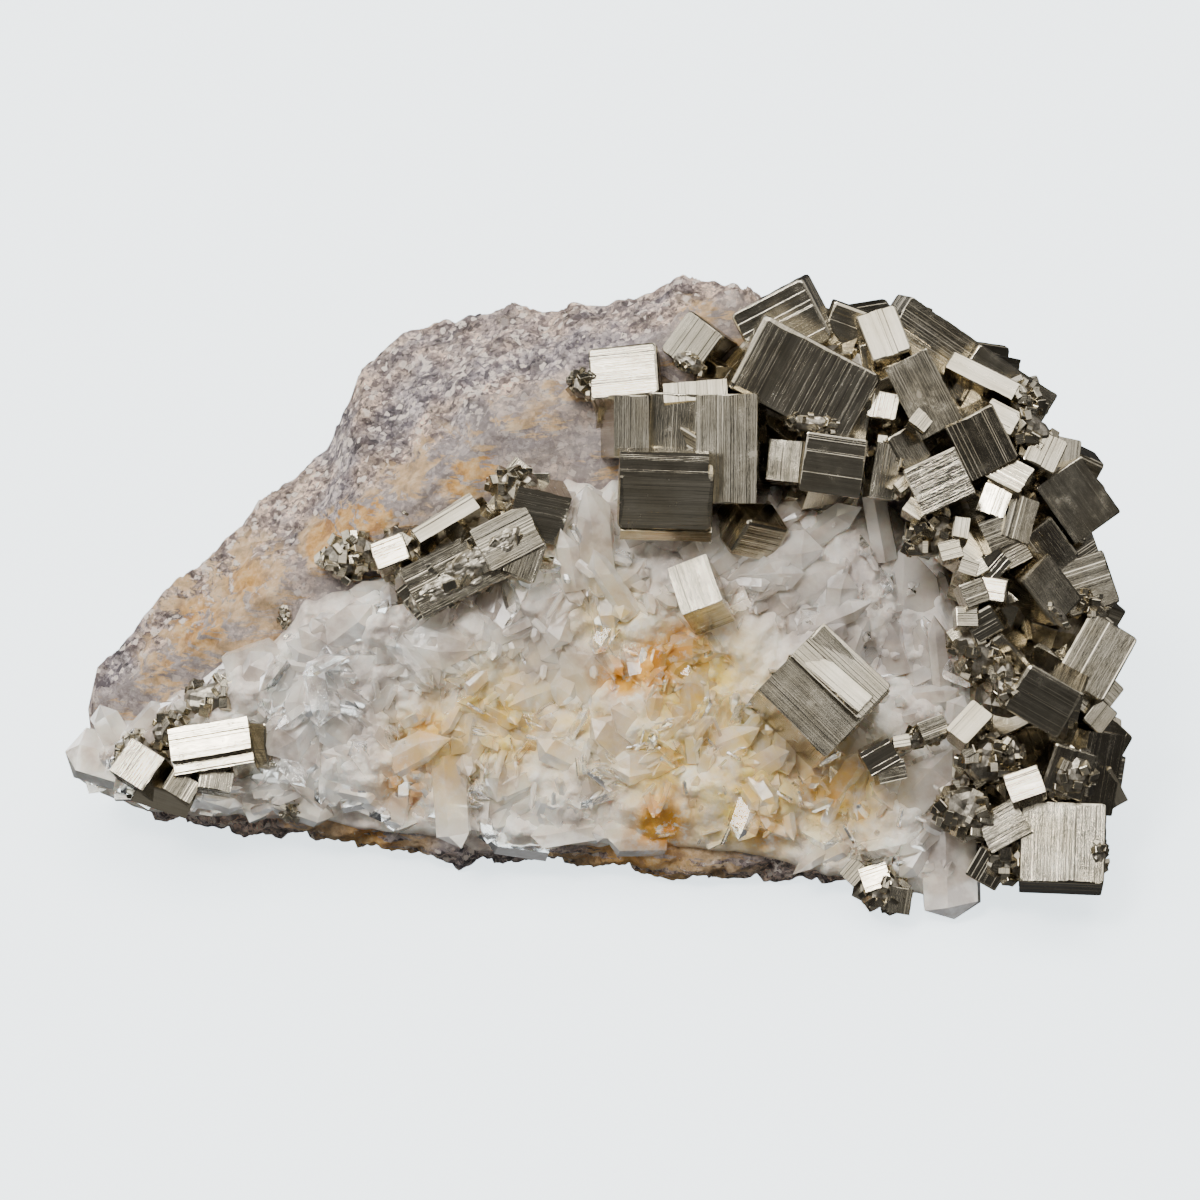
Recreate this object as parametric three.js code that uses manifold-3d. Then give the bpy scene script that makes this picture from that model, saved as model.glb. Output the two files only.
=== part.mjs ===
// A hand specimen of pyrite with quartz: a broken lump of grey host rock whose steep front slope
// carries a crust of milky quartz crystals, with striated pyrite cubes standing in and beside it.
// Millimetres, +Z up. The specimen rests on the flat break under the rock, at z = 0, and the origin
// is the middle of its footprint. The crystal-covered slope faces -Y.
import * as THREE from 'three';
import { mergeVertices } from 'three/addons/utils/BufferGeometryUtils.js';
import Module from 'manifold-3d';

const wasm = await Module();
wasm.setup();

// The show side is described in a frame of its own, which looks squarely at the crystal slope:
// u runs right, v up the slope, w out of it. It looks down at this angle, from this far away, and
// its middle is this high above the base.
const SHOW_ELEVATION = THREE.MathUtils.degToRad(35);
const SHOW_DISTANCE = 750;
const SHOW_CENTRE = new THREE.Vector3(0, 0, 42.5);

// From the show side's middle to the middle of the footprint, which is the origin.
const FOOTPRINT_MIDDLE = { x: 0, y: 13.4 };

// Gap left round each crystal where its neighbour is cut away for it, and under the crust's edge.
const SEAT_GAP = 0.35;
const CRUST_CLEARANCE = 0.6;

const U = new THREE.Vector3(1, 0, 0);
const V = new THREE.Vector3(0, Math.sin(SHOW_ELEVATION), Math.cos(SHOW_ELEVATION));
const W = new THREE.Vector3(0, -Math.cos(SHOW_ELEVATION), Math.sin(SHOW_ELEVATION));

// A place on the show side. u and v are as seen from SHOW_DISTANCE, so they shrink with nearness.
function place(u, v, w) {
  const nearer = (SHOW_DISTANCE - w) / SHOW_DISTANCE;
  return SHOW_CENTRE.clone()
    .addScaledVector(U, u * nearer)
    .addScaledVector(V, v * nearer)
    .addScaledVector(W, w);
}

// A turn on the show side, in degrees: spin in the plane of the slope, then yaw right and tip up.
function facing(spin, yaw, tip) {
  const rad = THREE.MathUtils.degToRad;
  const slope = new THREE.Matrix4().makeBasis(U, V, W);
  return slope
    .multiply(new THREE.Matrix4().makeRotationY(rad(yaw)))
    .multiply(new THREE.Matrix4().makeRotationX(rad(-tip)))
    .multiply(new THREE.Matrix4().makeRotationZ(rad(spin)));
}

// A seeded source of numbers from 0 to 1.
function randomFrom(seed) {
  let state = seed >>> 0;
  return () => {
    state = (state + 0x6d2b79f5) >>> 0;
    let t = state;
    t = Math.imul(t ^ (t >>> 15), t | 1);
    t ^= t + Math.imul(t ^ (t >>> 7), t | 61);
    return ((t ^ (t >>> 14)) >>> 0) / 4294967296;
  };
}

// Smooth noise from -1 to 1, with a new value at every whole number.
function latticeValue(x, y, z) {
  let h = Math.imul(x, 374761393) ^ Math.imul(y, 668265263) ^ Math.imul(z, 2147483647 - 57);
  h = Math.imul(h ^ (h >>> 13), 1274126177);
  return (((h ^ (h >>> 16)) >>> 0) / 4294967296) * 2 - 1;
}

function noise(x, y, z) {
  const ix = Math.floor(x);
  const iy = Math.floor(y);
  const iz = Math.floor(z);
  const ease = (t) => t * t * (3 - 2 * t);
  const fx = ease(x - ix);
  const fy = ease(y - iy);
  const fz = ease(z - iz);
  let sum = 0;
  for (const dx of [0, 1])
    for (const dy of [0, 1])
      for (const dz of [0, 1]) {
        const share = (dx ? fx : 1 - fx) * (dy ? fy : 1 - fy) * (dz ? fz : 1 - fz);
        sum += share * latticeValue(ix + dx, iy + dy, iz + dz);
      }
  return sum;
}

function geometryFrom(points, triangles) {
  const geometry = new THREE.BufferGeometry();
  const numbers = points.flatMap((p) => p.toArray());
  geometry.setAttribute('position', new THREE.Float32BufferAttribute(numbers, 3));
  geometry.setIndex(triangles);
  return geometry;
}

function solidFrom(geometry, matrix) {
  const bare = geometry.clone();
  for (const name of Object.keys(bare.attributes)) if (name !== 'position') bare.deleteAttribute(name);
  if (matrix) bare.applyMatrix4(matrix);
  const merged = mergeVertices(bare, 1e-4);
  return new wasm.Manifold(
    new wasm.Mesh({
      numProp: 3,
      vertProperties: merged.attributes.position.array,
      triVerts: new Uint32Array(merged.index.array),
    }),
  );
}

const joined = (solids) => solids.reduce((all, s) => all.add(s));

// The largest of a solid's separate bodies, without the loose slivers that a cut leaves.
function mainBody(solid) {
  return solid.decompose().reduce((best, body) => (body.volume() > best.volume() ? body : best));
}

function meshOf(name, solid, material) {
  const { vertProperties, triVerts } = solid.getMesh();
  const geometry = new THREE.BufferGeometry();
  geometry.setAttribute('position', new THREE.BufferAttribute(vertProperties, 3));
  geometry.setIndex(new THREE.BufferAttribute(triVerts, 1));
  geometry.computeVertexNormals();
  const mesh = new THREE.Mesh(geometry, material);
  mesh.name = name;
  return mesh;
}

// The host rock as sections across its length. Each row: x, then the y and z of the lip under the
// crust, the ridge where the crust ends, the far edge of the broken top, the middle of the back
// and the foot of the back, with z measured from the base.
const ROCK_SECTIONS = [
  { x: -77, lip: [-3.4, 13.2], ridge: [0.9, 21.1], top: [7, 22.9], back: [9, 16], foot: [6, 9] },
  { x: -68, lip: [-6.9, 8.3], ridge: [1.7, 29.1], top: [15.3, 29.4], back: [22, 18], foot: [18, 2] },
  { x: -55, lip: [-7.7, 7], ridge: [2.4, 37.2], top: [27.9, 37], back: [33, 22], foot: [28, 0] },
  { x: -42, lip: [-10, 5.6], ridge: [5.3, 44.9], top: [40.8, 43.2], back: [47, 26], foot: [41, 0] },
  { x: -30, lip: [-12.5, 5.5], ridge: [9.1, 52], top: [52.4, 54.6], back: [57, 32], foot: [50, 0] },
  { x: -15, lip: [-15, 5.4], ridge: [17.4, 62.1], top: [50.1, 61.7], back: [57, 34], foot: [51, 0] },
  { x: 0, lip: [-15.5, 6.4], ridge: [22.8, 68], top: [43, 65.5], back: [53, 36], foot: [50, 0] },
  { x: 12, lip: [-17, 6.1], ridge: [28.1, 72.2], top: [40.9, 73], back: [51, 38], foot: [48, 0] },
  { x: 21, lip: [-18, 6.3], ridge: [32.4, 74.8], top: [38.5, 73], back: [48, 38], foot: [46, 0] },
  { x: 40, lip: [-19.2, 4.7], ridge: [30, 62], top: [37, 60], back: [44, 36], foot: [41, 0] },
  { x: 58, lip: [-17, 4.3], ridge: [25, 51], top: [31, 48], back: [37, 30], foot: [33, 0] },
  { x: 70, lip: [-10, 6], ridge: [16, 34], top: [21, 31], back: [24, 20], foot: [20, 3] },
];
const BASE_SETBACK = 9;
const ROCK_STATIONS = 20;

function rockSection(x) {
  const rows = ROCK_SECTIONS;
  let i = rows.findIndex((row) => row.x >= x);
  i = Math.min(Math.max(i, 1), rows.length - 1);
  const [a, b] = [rows[i - 1], rows[i]];
  const t = (x - a.x) / (b.x - a.x);
  const mix = (from, to) => from + (to - from) * t;
  const between = (key) => new THREE.Vector3(x, mix(a[key][0], b[key][0]), mix(a[key][1], b[key][1]));
  const section = {};
  for (const key of ['lip', 'ridge', 'top', 'back', 'foot']) section[key] = between(key);
  section.toe = new THREE.Vector3(x, section.lip.y + BASE_SETBACK, section.foot.z);
  return section;
}

// The rock breaks in ledges along its layering, which dips to the left and to the back.
const LAYERING = new THREE.Vector3(-0.45, 0.3, 0.84).normalize();
const LEDGE_HEIGHT = 4.2;

function roughen(p, outward) {
  const level = p.dot(LAYERING) / LEDGE_HEIGHT + 0.5 * noise(p.x / 15, p.y / 15, p.z / 15);
  const ledge = level - Math.floor(level) - 0.5;
  const large = 1.4 * noise(p.x / 11, p.y / 11, p.z / 11);
  const small = 0.7 * noise(p.x / 4.5 + 9, p.y / 4.5, p.z / 4.5);
  return p.clone().addScaledVector(outward, large + small + 0.8 * ledge);
}

const ROCK_EDGES = [
  ['lip', 'ridge', 4],
  ['ridge', 'top', 5],
  ['top', 'back', 3],
  ['back', 'foot', 3],
  ['foot', 'toe', 1],
  ['toe', 'lip', 1],
];

function rockRing(x, grow) {
  const section = rockSection(x);
  const middle = new THREE.Vector3(x, (section.lip.y + section.back.y) / 2, section.back.z);
  const ring = [];
  for (const [from, to, steps] of ROCK_EDGES)
    for (let k = 0; k < steps; k++) {
      const p = section[from].clone().lerp(section[to], k / steps);
      const flat = p.z < 1e-6;
      const outward = p.clone().sub(middle).normalize();
      const rough = flat ? p : roughen(p, outward);
      rough.z = flat ? 0 : Math.max(rough.z, 0.4);
      ring.push(rough.addScaledVector(outward, grow));
    }
  return ring;
}

function rockSolid(grow = 0) {
  const first = ROCK_SECTIONS[0].x;
  const last = ROCK_SECTIONS[ROCK_SECTIONS.length - 1].x;
  const points = [];
  const triangles = [];
  let around = 0;
  for (let s = 0; s <= ROCK_STATIONS; s++) {
    const ring = rockRing(first + ((last - first) * s) / ROCK_STATIONS, grow);
    around = ring.length;
    points.push(...ring);
  }
  for (let s = 0; s < ROCK_STATIONS; s++)
    for (let k = 0; k < around; k++) {
      const a = s * around + k;
      const b = s * around + ((k + 1) % around);
      triangles.push(a, a + around, b, b, a + around, b + around);
    }
  const cap = (start, sign) => {
    const centre = new THREE.Vector3();
    for (let k = 0; k < around; k++) centre.addScaledVector(points[start + k], 1 / around);
    centre.x += sign * (1.5 + grow);
    points.push(centre);
    for (let k = 0; k < around; k++) {
      const pair = [start + k, start + ((k + 1) % around)];
      triangles.push(points.length - 1, ...(sign < 0 ? pair : pair.reverse()));
    }
  };
  cap(0, -1);
  cap(ROCK_STATIONS * around, 1);
  return solidFrom(geometryFrom(points, triangles));
}

// The quartz crust's outline on the slope: u, then v of its lower and of its upper edge.
const CRUST_OUTLINE = [
  { u: -78, low: -27, high: -20 },
  { u: -70, low: -31, high: -17 },
  { u: -60, low: -32.5, high: -12 },
  { u: -52, low: -33, high: -7 },
  { u: -45, low: -34, high: -1 },
  { u: -36, low: -35.5, high: 4 },
  { u: -25, low: -36.5, high: 8 },
  { u: -15, low: -38.5, high: 12 },
  { u: -6, low: -38, high: 18 },
  { u: 0, low: -37.5, high: 20 },
  { u: 10, low: -38, high: 20 },
  { u: 20, low: -39, high: 18 },
  { u: 30, low: -40.5, high: 17 },
  { u: 40, low: -42.5, high: 18 },
  { u: 46, low: -44, high: 12 },
  { u: 51, low: -45, high: 7 },
  { u: 57, low: -42, high: -8 },
];
const CRUST_THICKNESS = 5.5;
const CRUST_EDGE = 0.35;
const CRUST_ROOT = 4;
const CRUST_COLUMNS = 22;
const CRUST_ROWS = 6;

function outlineAt(u) {
  const rows = CRUST_OUTLINE;
  let i = rows.findIndex((row) => row.u >= u);
  i = Math.min(Math.max(i, 1), rows.length - 1);
  const [a, b] = [rows[i - 1], rows[i]];
  const t = (u - a.u) / (b.u - a.u);
  return { low: a.low + (b.low - a.low) * t, high: a.high + (b.high - a.high) * t };
}

// How far out of the show plane the rock's slope lies at u, v.
function slopeDepth(u, v) {
  const section = rockSection(Math.max(u + SHOW_CENTRE.x, ROCK_SECTIONS[0].x));
  const depthOf = (p) => p.clone().sub(SHOW_CENTRE).dot(W);
  const heightOf = (p) => p.clone().sub(SHOW_CENTRE).dot(V);
  const t = (v - heightOf(section.lip)) / (heightOf(section.ridge) - heightOf(section.lip));
  const clamped = Math.min(Math.max(t, 0), 1);
  return depthOf(section.lip) + (depthOf(section.ridge) - depthOf(section.lip)) * clamped;
}

// The crust's own surface: it swells towards the middle and is lumpy all over.
function crustDepth(u, v) {
  const { low, high } = outlineAt(u);
  const across = (v - low) / (high - low);
  const fade = Math.min(1, 5 * Math.min(across, 1 - across), (u + 79) / 6, (59 - u) / 6);
  const swell = Math.sqrt(Math.max(fade, 0));
  const lumps = 1.6 * noise(u / 9, v / 9, 3) + 1.0 * noise(u / 4, v / 4, 7);
  return slopeDepth(u, v) + (CRUST_THICKNESS + lumps) * swell;
}

function crustSheet() {
  const points = [];
  const triangles = [];
  const first = CRUST_OUTLINE[0].u;
  const last = CRUST_OUTLINE[CRUST_OUTLINE.length - 1].u;
  const rowLength = CRUST_ROWS + 1;
  const sideLength = (CRUST_COLUMNS + 1) * rowLength;
  for (const front of [true, false])
    for (let i = 0; i <= CRUST_COLUMNS; i++) {
      const u = first + ((last - first) * i) / CRUST_COLUMNS;
      const { low, high } = outlineAt(u);
      for (let j = 0; j <= CRUST_ROWS; j++) {
        const v = low + ((high - low) * j) / CRUST_ROWS;
        const slope = slopeDepth(u, v);
        const depth = front ? Math.max(crustDepth(u, v), slope + CRUST_EDGE) : slope - CRUST_ROOT;
        points.push(place(u, v, depth));
      }
    }
  for (let i = 0; i < CRUST_COLUMNS; i++)
    for (let j = 0; j < CRUST_ROWS; j++) {
      const a = i * rowLength + j;
      const b = a + rowLength;
      triangles.push(a, b, a + 1, a + 1, b, b + 1);
      const [c, d] = [a + sideLength, b + sideLength];
      triangles.push(c, c + 1, d, c + 1, d + 1, d);
    }
  const wall = (a, b) => triangles.push(a, a + sideLength, b, b, a + sideLength, b + sideLength);
  for (let j = 0; j < CRUST_ROWS; j++) {
    wall(j + 1, j);
    const end = CRUST_COLUMNS * rowLength + j;
    wall(end, end + 1);
  }
  for (let i = 0; i < CRUST_COLUMNS; i++) {
    const a = i * rowLength;
    wall(a, a + rowLength);
    wall(a + CRUST_ROWS + rowLength, a + CRUST_ROWS);
  }
  return solidFrom(geometryFrom(points, triangles));
}

// One quartz crystal: a six-sided prism with a pointed end. It starts at u, v and points along
// `angle` in the plane of the slope, lifted out of it by `lift`; `flat` is its thickness over its
// width, and `out` raises its root above the crust.
function quartzCrystal({ at: [u, v], angle, lift, length, width, flat = 0.8, out = 0 }) {
  const point = Math.min(width * 0.75, length * 0.4);
  const profile = [
    new THREE.Vector2(0, 0),
    new THREE.Vector2(width / 2, 0),
    new THREE.Vector2(width / 2, length - point),
    new THREE.Vector2(0, length),
  ];
  const prism = new THREE.LatheGeometry(profile, 6);
  prism.scale(1, 1, flat);
  const rad = THREE.MathUtils.degToRad;
  const along = new THREE.Vector3()
    .addScaledVector(U, Math.cos(rad(angle)) * Math.cos(rad(lift)))
    .addScaledVector(V, Math.sin(rad(angle)) * Math.cos(rad(lift)))
    .addScaledVector(W, Math.sin(rad(lift)));
  const side = new THREE.Vector3().crossVectors(along, W).normalize();
  const front = new THREE.Vector3().crossVectors(side, along);
  const matrix = new THREE.Matrix4().makeBasis(side, along, front);
  matrix.setPosition(place(u, v, crustDepth(u, v) - width * 0.35 + out));
  return solidFrom(prism, matrix);
}

// The quartz crystals that stand out on their own.
const QUARTZ_CRYSTALS = [
  { at: [0, 1], angle: 95, lift: 14, length: 17, width: 6.6, out: 2.5 },
  { at: [-4, 1.5], angle: 99, lift: 10, length: 9.5, width: 3.8, out: 1 },
  { at: [4.8, -2.3], angle: 123, lift: 16, length: 12, width: 4, out: 1 },
  { at: [0.8, 1.5], angle: 34, lift: 22, length: 8.5, width: 4.6, out: 1 },
  { at: [-13, 2], angle: 25, lift: 12, length: 6.8, width: 4.4 },
  { at: [31, 9], angle: 33, lift: 16, length: 10, width: 4.6, out: 1 },
  { at: [42.8, 6], angle: 101, lift: 10, length: 14, width: 5, out: 1.5 },
  { at: [26, 10.5], angle: 54, lift: 14, length: 8, width: 4.4 },
  { at: [25.5, 2.3], angle: 169, lift: 14, length: 8.4, width: 5.6, out: 1 },
  { at: [47, -5], angle: 99, lift: 9, length: 14, width: 13, flat: 0.5, out: 1.5 },
  { at: [44, -11], angle: 107, lift: 12, length: 12, width: 9, flat: 0.6, out: 1 },
  { at: [24, -1.5], angle: 29, lift: 10, length: 15, width: 6.4 },
  { at: [30, -4.5], angle: 22, lift: 14, length: 12, width: 4.2, out: 1 },
  { at: [-30, -10], angle: 47, lift: 16, length: 12.5, width: 6.4, flat: 0.5, out: 1 },
  { at: [-31, -5], angle: -15, lift: 10, length: 14, width: 7.4, flat: 0.6, out: 1 },
  { at: [-21.5, -9.5], angle: 8, lift: 4, length: 21, width: 10, flat: 0.6, out: 0.5 },
  { at: [0, -14], angle: 128, lift: 14, length: 9, width: 7.4, flat: 0.6, out: 1 },
  { at: [-17, -31], angle: 34, lift: 13, length: 12.5, width: 7, flat: 0.6, out: 1 },
  { at: [-7, -23], angle: -56, lift: 12, length: 10.5, width: 8, flat: 0.6, out: 1 },
  { at: [-23, -20.5], angle: -86, lift: 5, length: 17.5, width: 7, flat: 0.7, out: 0.5 },
  { at: [-31, -24.5], angle: 28, lift: 14, length: 10, width: 5.4, out: 1 },
  { at: [-27.8, -25.5], angle: 171, lift: 6, length: 14.5, width: 6.2, out: 0.5 },
  { at: [-40, -29], angle: 142, lift: 12, length: 10.5, width: 8, flat: 0.6 },
  { at: [-72, -25], angle: 171, lift: 4, length: 9, width: 8, flat: 0.7 },
  { at: [-72.5, -21], angle: 118, lift: 8, length: 6, width: 5.6 },
  { at: [-64, -30.5], angle: 198, lift: 6, length: 8, width: 4.6 },
  { at: [52, -10], angle: -25, lift: 16, length: 8, width: 4, out: 3 },
  { at: [51.5, -13.5], angle: 97, lift: 16, length: 12, width: 4, out: 1.5 },
  { at: [45, -31.5], angle: 47, lift: 10, length: 12.5, width: 8.6, flat: 0.7, out: 1 },
  { at: [51.5, -36], angle: -92, lift: 6, length: 12, width: 9, flat: 0.7, out: 0 },
  { at: [10.8, -6.8], angle: -10, lift: 14, length: 9, width: 4.6, out: 0.5 },
  { at: [17.9, -21.8], angle: 22, lift: 14, length: 7, width: 4.6, out: 0.5 },
];

// One pyrite crystal: a cube or block cut by the grooves that its growth leaves. `size` is along
// the grooves of the front face, across them, and deep. Large crystals show ledges on every face,
// each face grooved across the next one's direction.
const LEDGED_FROM = 13.5;

function ledgeProfile(width, height, random) {
  const reach = width * 0.62;
  const upper = [];
  const step = width / 3;
  const rise = 0.03 * width;
  for (const side of [1, -1]) {
    const line = [[-reach, height / 2 - rise]];
    let level = height / 2 - rise * random();
    for (let y = -width / 2 + step * (0.4 + random()); y < width / 2; y += step * (0.7 + random())) {
      line.push([y, level]);
      level = height / 2 - rise * random();
      line.push([y + 0.35, level]);
    }
    line.push([reach, height / 2 - rise]);
    upper.push(...(side > 0 ? line : line.reverse().map(([y, z]) => [y, -z])));
  }
  return new THREE.Shape(upper.map(([y, z]) => new THREE.Vector2(y, z)).reverse());
}

function pyriteCrystal({ at, turn, size }, gap = 0) {
  const [long, wide, deep] = size.map((s) => s + 2 * gap);
  const matrix = facing(...turn).setPosition(place(...at));
  const plain = gap > 0 || Math.max(...size) < LEDGED_FROM;
  if (plain) return solidFrom(new THREE.BoxGeometry(long, wide, deep), matrix);
  const random = randomFrom(Math.round(100 + at[0] * 10));
  // Each prism is extruded along one axis of the crystal, and its profile bounds the next axis.
  const prism = (length, width, height, order) => {
    const shape = ledgeProfile(width, height, random);
    const geometry = new THREE.ExtrudeGeometry(shape, { depth: length * 1.3, bevelEnabled: false });
    geometry.translate(0, 0, -length * 0.65);
    return solidFrom(geometry, new THREE.Matrix4().makeBasis(...order));
  };
  const [x, y, z] = [U, new THREE.Vector3(0, 1, 0), new THREE.Vector3(0, 0, 1)];
  const shape = prism(long, wide, deep, [y, z, x])
    .intersect(prism(wide, deep, long, [z, x, y]))
    .intersect(prism(deep, long, wide, [x, y, z]));
  return shape.transform(matrix.elements);
}

// A chunk of massive pyrite that the crystals of a group grow from.
function pyriteLump({ at, radius }, gap = 0) {
  const lump = new THREE.IcosahedronGeometry(radius + gap);
  return solidFrom(lump, facing(radius * 50, radius * 30, 0).setPosition(place(...at)));
}

// The large group along the top and the right end. Each row: place, turn and size.
const MAIN_CRYSTALS = [
  { at: [4, 32.7, -5], turn: [6, -8, 22], size: [10.6, 8.6, 9] },
  { at: [3.7, 26, -1], turn: [90, 14, 0], size: [9.4, 5.6, 8.7] },
  { at: [11.5, 27, -2.5], turn: [86, -10, -4], size: [8.4, 7.6, 8] },
  { at: [20, 22.5, 0], turn: [90, -12, 0], size: [16.5, 9.5, 12] },
  { at: [9.8, 16.9, 2], turn: [-2, 0, -24], size: [14.3, 9.4, 12] },
  { at: [22.5, 11, -1], turn: [-12, 28, -38], size: [8, 6.5, 8] },
  { at: [30.2, 33, -3], turn: [65, 2, -2], size: [11.5, 19, 15] },
  { at: [27.8, 41.8, -9], turn: [25, -8, -4], size: [10.8, 10, 10] },
  { at: [15, 38, -5], turn: [54, -18, 6], size: [7.6, 7.2, 9] },
  { at: [14.5, 30.3, -0.5], turn: [95, -6, 26], size: [3.4, 9.8, 5] },
  { at: [42.7, 38.6, -3], turn: [-70, -6, 24], size: [8.4, 6.4, 7] },
  { at: [48.4, 36, -8], turn: [-33, 10, -6], size: [16, 13.5, 10] },
  { at: [57.2, 32.2, -1], turn: [-29, 0, 22], size: [11.5, 3.4, 7] },
  { at: [59.3, 30.8, -8], turn: [-32, 8, -2], size: [14.5, 9, 12] },
  { at: [49, 30.6, 2], turn: [-63, -10, 8], size: [12.3, 7.3, 9] },
  { at: [42.5, 32, -1], turn: [24, 20, -20], size: [5, 4.6, 5] },
  { at: [42.9, 28.4, 0.5], turn: [80, -12, 18], size: [4.4, 4.6, 5] },
  { at: [56.3, 24.1, 2], turn: [-62, 8, -8], size: [9.2, 8.2, 10] },
  { at: [51, 17.4, 5], turn: [25, -6, 4], size: [8.6, 7.6, 9] },
  { at: [61.1, 17.9, 2.5], turn: [-30, -6, 24], size: [7, 4.8, 7] },
  { at: [66, 21.2, 0], turn: [62, 10, 20], size: [6, 5.4, 7] },
  { at: [60, 26.6, 1], turn: [-30, 0, 22], size: [5.4, 4.2, 5] },
  { at: [70.6, 14.5, -4], turn: [-55, 6, 4], size: [10.6, 8.8, 12] },
  { at: [59.4, 14.4, 3], turn: [72, -12, 14], size: [5, 4.8, 5] },
  { at: [62, 11.6, 3], turn: [70, 18, 12], size: [7, 4.6, 6] },
  { at: [59.3, 9.6, 4], turn: [20, 20, 16], size: [6.8, 5, 6] },
  { at: [54.5, 7, 3.5], turn: [-38, 10, 22], size: [5.5, 5, 5] },
  { at: [65.1, 2, 1], turn: [-47, 26, -6], size: [9.5, 6.5, 11] },
  { at: [71.6, 1.8, -5], turn: [17, 12, 8], size: [8.6, 8.6, 10] },
  { at: [73.2, -9.2, -3.5], turn: [58, 10, 10], size: [11.6, 8.7, 10.5] },
  { at: [67, -13.8, 4.5], turn: [-31, -12, -16], size: [9.6, 8.4, 10] },
  { at: [71.8, -25.3, -5], turn: [84, 38, -8], size: [12.5, 8, 10] },
  { at: [69.3, -25.3, 1.5], turn: [72, 10, -6], size: [7.6, 7, 8] },
  { at: [63.8, -28.2, 6], turn: [20, -8, 18], size: [5.4, 4.6, 5] },
  { at: [69.3, -37.3, 0], turn: [88, -4, 17], size: [12.5, 12.8, 13] },
  { at: [55.5, -19.2, 5.5], turn: [50, -6, 24], size: [6.4, 4.2, 5] },
  { at: [57.8, -24.4, 3.5], turn: [40, 8, 20], size: [8, 7, 7] },
  { at: [61, -34, 2], turn: [30, -14, 6], size: [7, 6, 7] },
  { at: [58.5, -39.6, -2], turn: [60, -10, -10], size: [5.4, 5.4, 6] },
];

// Crystals on the right end and behind, which the show side hides.
const FAR_CRYSTALS = [
  { at: [68.5, 7, -14], turn: [20, 50, 10], size: [10, 9, 9] },
  { at: [72, -6, -15], turn: [-20, 60, 0], size: [9, 8, 9] },
  { at: [71, -18, -17], turn: [40, 65, -10], size: [9, 9, 9] },
  { at: [70.3, -32, -13], turn: [10, 50, -20], size: [8, 7.5, 8] },
  { at: [58, 27, -18], turn: [35, 40, 30], size: [10, 9, 9] },
  { at: [40, 39.5, -16], turn: [15, 10, 50], size: [9, 8, 8] },
  { at: [64, 16, -17], turn: [60, 50, 20], size: [8, 8, 8] },
];

const MAIN_LUMPS = [
  { at: [5, 29, -8], radius: 8 },
  { at: [13, 22, -6], radius: 9 },
  { at: [23, 30, -9], radius: 11 },
  { at: [33, 36, -13], radius: 12 },
  { at: [33, 20, -8], radius: 9 },
  { at: [42, 32, -10], radius: 11 },
  { at: [54, 28, -12], radius: 13 },
  { at: [56, 14, -6], radius: 10 },
  { at: [65, 16, -11], radius: 12 },
  { at: [62, 2, -7], radius: 10 },
  { at: [69, -4, -11], radius: 12 },
  { at: [64, -16, -6], radius: 11 },
  { at: [69, -24, -10], radius: 11.5 },
  { at: [65, -33, -8], radius: 9.5 },
  { at: [57, -30, -5], radius: 8.5 },
];

// The smaller groups, each a solid of its own.
const LONE_CUBE = [{ at: [32.9, -14.4, 7], turn: [-45, 9, 4], size: [14.4, 14.2, 13] }];
const SMALL_CUBE = [{ at: [15.2, 0.8, 5], turn: [-68, -14, 20], size: [8, 6.6, 7] }];
const UPPER_LEFT_CRYSTALS = [
  { at: [-20, 5.8, 0], turn: [27, 4, 0], size: [19, 10.5, 9] },
  { at: [-23.2, 10.8, 1], turn: [34, 0, 24], size: [11, 3, 7] },
  { at: [-9.8, 13.8, -1], turn: [-12, 10, -6], size: [8.6, 8, 8] },
  { at: [-31, 6.4, 1], turn: [22, -10, 18], size: [5.4, 4.8, 6] },
  { at: [-12.5, 19, -2.5], turn: [50, 0, 12], size: [5, 4.6, 5] },
];
const UPPER_LEFT_LUMPS = [
  { at: [-19, 8, -3], radius: 8 },
  { at: [-11, 14, -5], radius: 6.5 },
  { at: [-29, 7, -3], radius: 5.5 },
];
const LOWER_LEFT_CRYSTALS = [
  { at: [-57.8, -23, -4], turn: [10, -6, 16], size: [12.4, 7.6, 10] },
  { at: [-65.8, -28, -5], turn: [89, -59, 27], size: [4.4, 10.4, 9.2] },
  { at: [-57.7, -27.4, -3.5], turn: [80, 6, 12], size: [3.2, 5.2, 5] },
  { at: [-57.5, -15.5, -6.5], turn: [14, 6, -10], size: [9, 6, 7] },
  { at: [-50.8, -21.5, -5.5], turn: [0, -24, -6], size: [5, 7, 6] },
];
const LOWER_LEFT_LUMPS = [
  { at: [-59, -21, -9], radius: 7 },
  { at: [-66, -26, -10], radius: 6 },
];
const LOWER_EDGE_CRYSTALS = [
  { at: [41.5, -42, -2], turn: [20, -10, 16], size: [4.4, 4, 4.4] },
  { at: [44.6, -45, -1.5], turn: [80, 10, 0], size: [4, 3.6, 4] },
  { at: [38.6, -41, -3], turn: [50, -20, 10], size: [3.6, 3.4, 4] },
];
const LOWER_EDGE_LUMPS = [{ at: [42, -42.5, -4], radius: 4.4 }];

const groupSolid = (crystals, lumps = [], gap = 0) =>
  joined([...crystals.map((c) => pyriteCrystal(c, gap)), ...lumps.map((l) => pyriteLump(l, gap))]);

const PYRITE_GROUPS = {
  pyrite_main_cluster: [[...MAIN_CRYSTALS, ...FAR_CRYSTALS], MAIN_LUMPS],
  pyrite_lone_cube: [LONE_CUBE, []],
  pyrite_small_cube: [SMALL_CUBE, []],
  pyrite_upper_left_group: [UPPER_LEFT_CRYSTALS, UPPER_LEFT_LUMPS],
  pyrite_lower_left_group: [LOWER_LEFT_CRYSTALS, LOWER_LEFT_LUMPS],
  pyrite_lower_edge_group: [LOWER_EDGE_CRYSTALS, LOWER_EDGE_LUMPS],
};

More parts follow.
